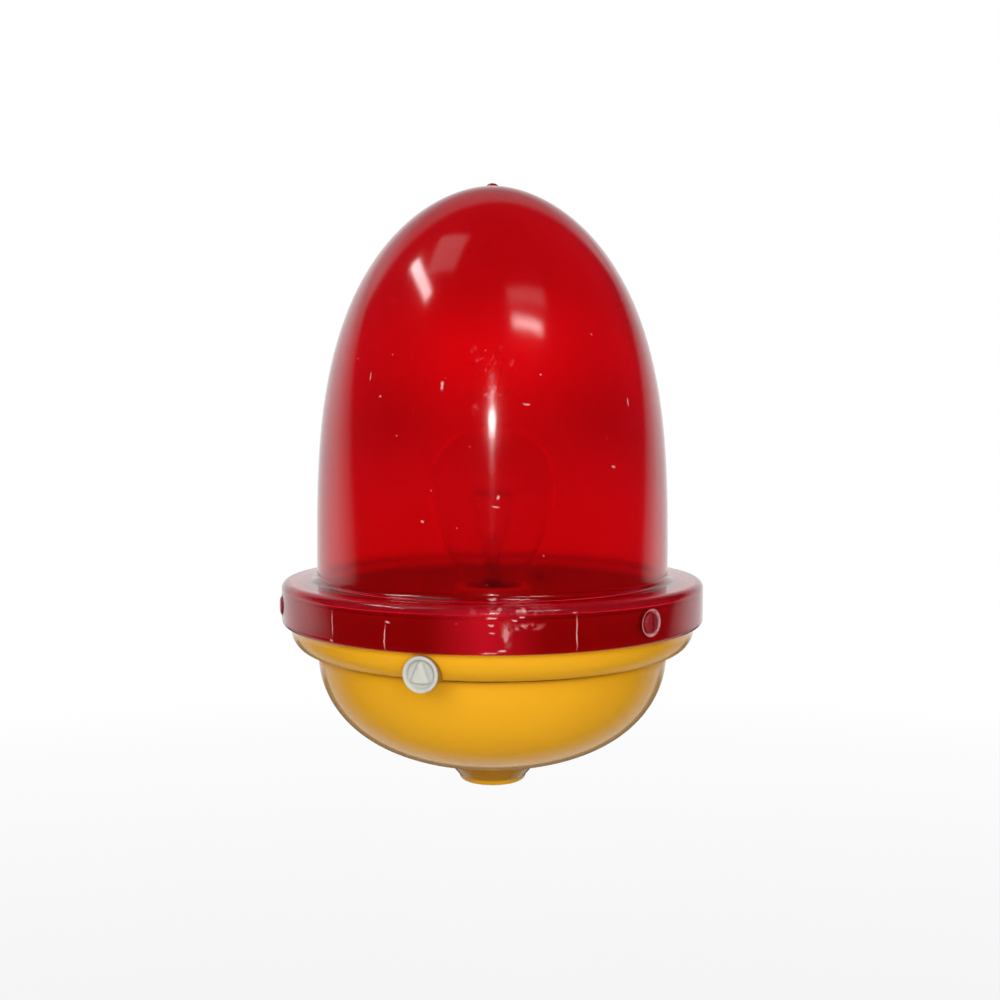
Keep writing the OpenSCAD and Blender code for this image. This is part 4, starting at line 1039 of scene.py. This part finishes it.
def makeBulb():
    k = sizesOf(bulb)
    line = [(k.neckR, k.neckLow)]
    line += bezierPoints((k.neckR, k.neckTop), (18, 108.1), (k.r, 115.9), (k.r, k.midZ), 24)
    line += arcPoints((0, k.midZ), k.r, 0, 90, 24)[1:-1] + [(0, k.midZ + k.r)]
    glass = turnPiece("bulbEnvelope", line, 96)
    applyAs(glass, "SOLIDIFY", thickness=k.wall * mm, offset=-1)
    settle(glass, "lamp", bulbGlass, ["bulb_glass"], 60)
    stem = turnPiece("bulbStemGlass", k.stem, 48)
    settle(stem, "lamp", stemGlass, ["bulb_stem"], 60)
    legs = [drawTube("leg", [(side * x, 0, z) for x, z in k.leg], k.legR, 3) for side in (-1, 1)]
    settle(gather("bulbSupportWires", legs), "lamp", capMetal, ["bulb_wires"], 60)
    count = k.turns * k.turnSteps
    coil = []
    for i in range(count + 1):
        x, a = -k.half + 2 * k.half * i / count, math.tau * k.turns * i / count
        coil.append((x, k.coilR * math.sin(a), k.coilZ + k.coilR * math.cos(a)))
    filament = drawTube("bulbFilamentCoil", coil, k.wireR, 2)
    settle(filament, "lamp", tungsten, ["bulb_filament"], 60)
    core = turnPiece("capCore", [
        (11.4, k.capLow), (12.3, k.capLow + 0.2), (12.62, 73.4), (12.62, 86.6), (13.0, 87.3), (13.05, 88.2),
        (k.capR, 88.6), (k.capR, 91.5), (12.9, k.capTop), (12.1, k.capTop), (12.1, 84.5), (11.2, 73),
        (11.4, k.capLow)], 96)
    thread = makeThread("capThread", k.capR, k.capR - k.thread, k.pitch, k.threadLow, 3)
    settle(gather("bulbCapThreaded", [core, thread]), "lamp", capMetal, ["bulb_cap"], 45)
    base = turnPiece("bulbInsulatorCone", k.insulator, 64)
    settle(base, "lamp", capGlass, ["bulb_insulator"], 45)
    tip = turnPiece("bulbContactTip", k.contact, 40)
    settle(tip, "lamp_lift", brass, ["bulb_contact"], 60)


makeBulb()
print("lamp made")


# camera at the photograph's angle

shot = {"distance": 0.6218, "azimuth": 17.4, "height": 0.176, "pitch": 3.79, "yaw": 0.33, "lens": 46.87}


def makeCamera():
    a = math.radians(shot["azimuth"])
    dropSelection()
    bpy.ops.object.camera_add(
        location=(shot["distance"] * math.sin(a), -shot["distance"] * math.cos(a), shot["height"]),
        rotation=(math.radians(90 - shot["pitch"]), 0, math.radians(shot["azimuth"] - shot["yaw"])))
    camera = bpy.context.object
    camera.data.lens = shot["lens"]
    camera.data.sensor_width = 36
    camera.data.clip_start = 0.01
    scene.camera = camera


# plain studio: pale floor well below, white behind, soft fills and a few ceiling lamps that only shine back

studio = {
    "floorZ": -0.6, "floorSize": 60, "fill": 0.2, "dark": 0.02, "middle": (0, 0, 0.17),
    # white of the floor by distance, to the camera and through the lens
    "shadowReach": (0.4, 3.0, 0.78, 1.0), "floorThrough": (10.5, 13.0, 0.65, 0.55),
    # where the white surround begins in the reflections, and how bright its parts are
    "edge": 0.33, "edgeSoft": 0.03, "edgeFade": (0.62, 0.3, 1.0), "topFade": (0.2, 0.5), "slant": 0.13,
    "rise": 0.75, "riseTop": 0.4, "fall": 0.35, "ceiling": (0.35, 0.65, 1.0, 0.36),
    "horizon": (-0.18, -0.28), "lowRamp": (0.3, 0.95), "bench": (0.76, 0.80, 1.0, 0.12),
    # brightness behind the lens by the sine of elevation, to the sides, in front, and inside after a bounce
    "behind": ((-0.03, 0.54), (0.0, 0.58), (0.026, 0.77), (0.048, 1.0), (0.079, 0.74), (0.101, 0.53),
               (0.131, 0.5), (0.16, 0.52)),
    "sideways": (0.03, 0.115, 1.0, 0.6), "noSides": (0.03, 0.08), "frontHalf": (0.5, 0.7, 1, 0),
    "insideRise": (-0.1, 0.5, 0.48, 1.0),
}
softLamps = (
    # name, azimuth, elevation and distance from the part's middle, width and height, watts
    ("keyLeft", (-5, 24, 2.4), (1.2, 1.2), 25),
    ("keyRight", (36, 20, 2.4), (1.2, 1.2), 22),
    ("frontLow", (17, 2, 2.4), (1.6, 0.8), 9),
    ("backFill", (197, 22, 2.4), (1.6, 1.0), 14),
)
shineLamps = (
    # name, azimuth and elevation of both ends, distance, width, brightness
    ("tubeLeft", ((-80.8, 48.9), (-42.3, 44.4)), 1.5, 0.12, 14),
    ("tubeRight", ((33.6, 40.0), (56.4, 36.0)), 1.5, 0.09, 14),
    ("panelLeft", ((-67.6, 57.7), (-36.0, 67.9)), 1.52, 0.52, 1.1),
    ("panelRight", ((31.7, 49.9), (65.5, 45.7)), 1.52, 0.17, 1.2),
    ("streakCore", ((17.1, 10.5), (17.1, 15.0)), 1.5, 0.075, 50),
    ("streakHalo", ((17.1, 7.5), (17.1, 19.5)), 1.51, 0.08, 5.5),
    ("streakTail", ((17.1, 3.2), (17.1, 24.5)), 1.52, 0.05, 3.5),
    ("streakLong", ((17.1, -5.0), (17.1, 3.0)), 1.53, 0.018, 1.4),
)


def aimFrom(azimuth, elevation, distance):
    a, e = math.radians(azimuth), math.radians(elevation)
    way = Vector((math.sin(a) * math.cos(e), -math.cos(a) * math.cos(e), math.sin(e)))
    return Vector(studio["middle"]) + way * distance, way


def hangLamp(name, place, turned, size, energy):
    dropSelection()
    bpy.ops.object.light_add(type="AREA", location=place, rotation=turned)
    lamp = nameIt(bpy.context.object, name)
    lamp.data.shape = "RECTANGLE"
    lamp.data.size, lamp.data.size_y = size
    lamp.data.energy = energy
    lamp.visible_camera = False
    lamp.visible_transmission = False
    return lamp


def makeSoftLamp(name, look, size, watts):  # gives light, and isn't mirrored
    place, way = aimFrom(*look)
    lamp = hangLamp(name, place, way.to_track_quat("Z", "Y").to_euler(), size, watts)
    lamp.visible_glossy = False


def makeShineLamp(name, ends, distance, width, glow):  # is mirrored, and gives no light
    near, far = (aimFrom(*end, distance)[0] for end in ends)
    place, along = (near + far) / 2, far - near
    way = (place - Vector(studio["middle"])).normalized()
    across = along.normalized()
    turned = Matrix((across, way.cross(across), way)).transposed().to_euler()
    lamp = hangLamp(name, place, turned, (along.length, width), glow * math.pi * along.length * width)
    lamp.visible_diffuse = False


def makeWorld():
    k = sizesOf(studio)
    world = bpy.data.worlds.new("paleStudio")
    scene.world = world
    world.use_nodes = True
    world.cycles.sampling_method = "NONE"
    tree = world.node_tree
    ray = addNode(tree, "LightPath").outputs
    place = newField(tree, "TexCoord", "Generated")
    a = math.radians(shot["azimuth"])
    ways = []
    for way in ((-math.sin(a), math.cos(a), 0), (math.cos(a), math.sin(a), 0), (0, 0, 1)):
        ways.append(newField(tree, "VectorMath", "Value", {0: place, 1: way}, operation="DOT_PRODUCT"))
    toBack, toRight, up = ways

    # what the glossy surfaces mirror
    lift = up.least(k.riseTop) * k.rise - (up - k.riseTop).most(0) * k.fall
    slanted = toBack - lift - toRight * k.slant
    fade = slanted.spread(k.edge, *k.edgeFade).most(up.spread(*k.topFade))
    rim = slanted.spread(k.edge - k.edgeSoft, k.edge + k.edgeSoft) * fade
    high = rim * up.spread(*k.ceiling)
    low = toBack.spread(*k.lowRamp) * toBack.spread(*k.bench)
    below = up.spread(*k.horizon)
    glossy = (low * below + high * (1 - below)).most(k.dark)

    # what is seen through the lens
    first, last = k.behind[0][0], k.behind[-1][0]
    ramp = addNode(tree, "ValToRGB", {"Fac": up.spread(first, last)})
    stops = ramp.color_ramp.elements
    for height, _ in k.behind[1:-1]:
        stops.new((height - first) / (last - first))
    for stop, (height, level) in zip(stops, k.behind):
        stop.color = (level, level, level, 1)
    aside = abs(toRight).spread(*k.sideways).most(up.spread(*k.noSides))
    behind = (Field(tree, ramp.outputs["Color"]) * aside).most(toBack.spread(*k.frontHalf))
    bounced = Field(tree, ray["Diffuse Depth"]).above(0.5)
    through = up.spread(*k.insideRise) * bounced + behind * (1 - bounced)

    strength = k.fill
    for kind, value in (("Is Glossy Ray", glossy), ("Is Transmission Ray", through), ("Is Camera Ray", 1.0)):
        strength = newField(tree, "Mix", 0, {0: Field(tree, ray[kind]), 2: strength, 3: value})
    backdrop = tree.nodes["Background"].inputs
    feed(backdrop["Strength"], strength)
    feed(backdrop["Color"], (1, 1, 1))


def makeFloor():
    k = sizesOf(studio)
    dropSelection()
    bpy.ops.mesh.primitive_plane_add(size=k.floorSize, location=(0, 0, k.floorZ))
    floor = applyPlace(nameIt(bpy.context.object, "paleFloor"))
    finish, tree = newFinish("paleFloorPaint")
    paint = tint(mottle(tree, 3, 0.4, 0.6), (0.86, 0.86, 0.86), (0.83, 0.83, 0.83))
    dress(finish, {"Base Color": paint, "Roughness": 0.9})
    ray = addNode(tree, "LightPath").outputs
    camera = Field(tree, ray["Is Camera Ray"])
    straight = Field(tree, ray["Is Transmission Ray"]) * Field(tree, ray["Diffuse Depth"]).below(0.5)
    flat = objectPlace(tree, (1, 1, 0))
    reach = newField(tree, "VectorMath", "Value", {0: flat}, operation="LENGTH")
    glow = {"Strength": reach.spread(*k.floorThrough).most(camera)}
    mix = newField(tree, "MixShader", "Shader", {
        0: camera.most(straight) * reach.spread(*k.shadowReach),
        1: Field(tree, tree.nodes["Principled BSDF"].outputs["BSDF"]),
        2: newField(tree, "Emission", "Emission", glow)})
    feed(tree.nodes["Material Output"].inputs["Surface"], mix)
    floor.data.materials.append(finish)
    floor.visible_glossy = False


makeCamera()
makeFloor()
makeWorld()
for lamp in softLamps:
    makeSoftLamp(*lamp)
for lamp in shineLamps:
    makeShineLamp(*lamp)
scene.view_settings.view_transform = "Standard"
print("studio made")

dropSelection()
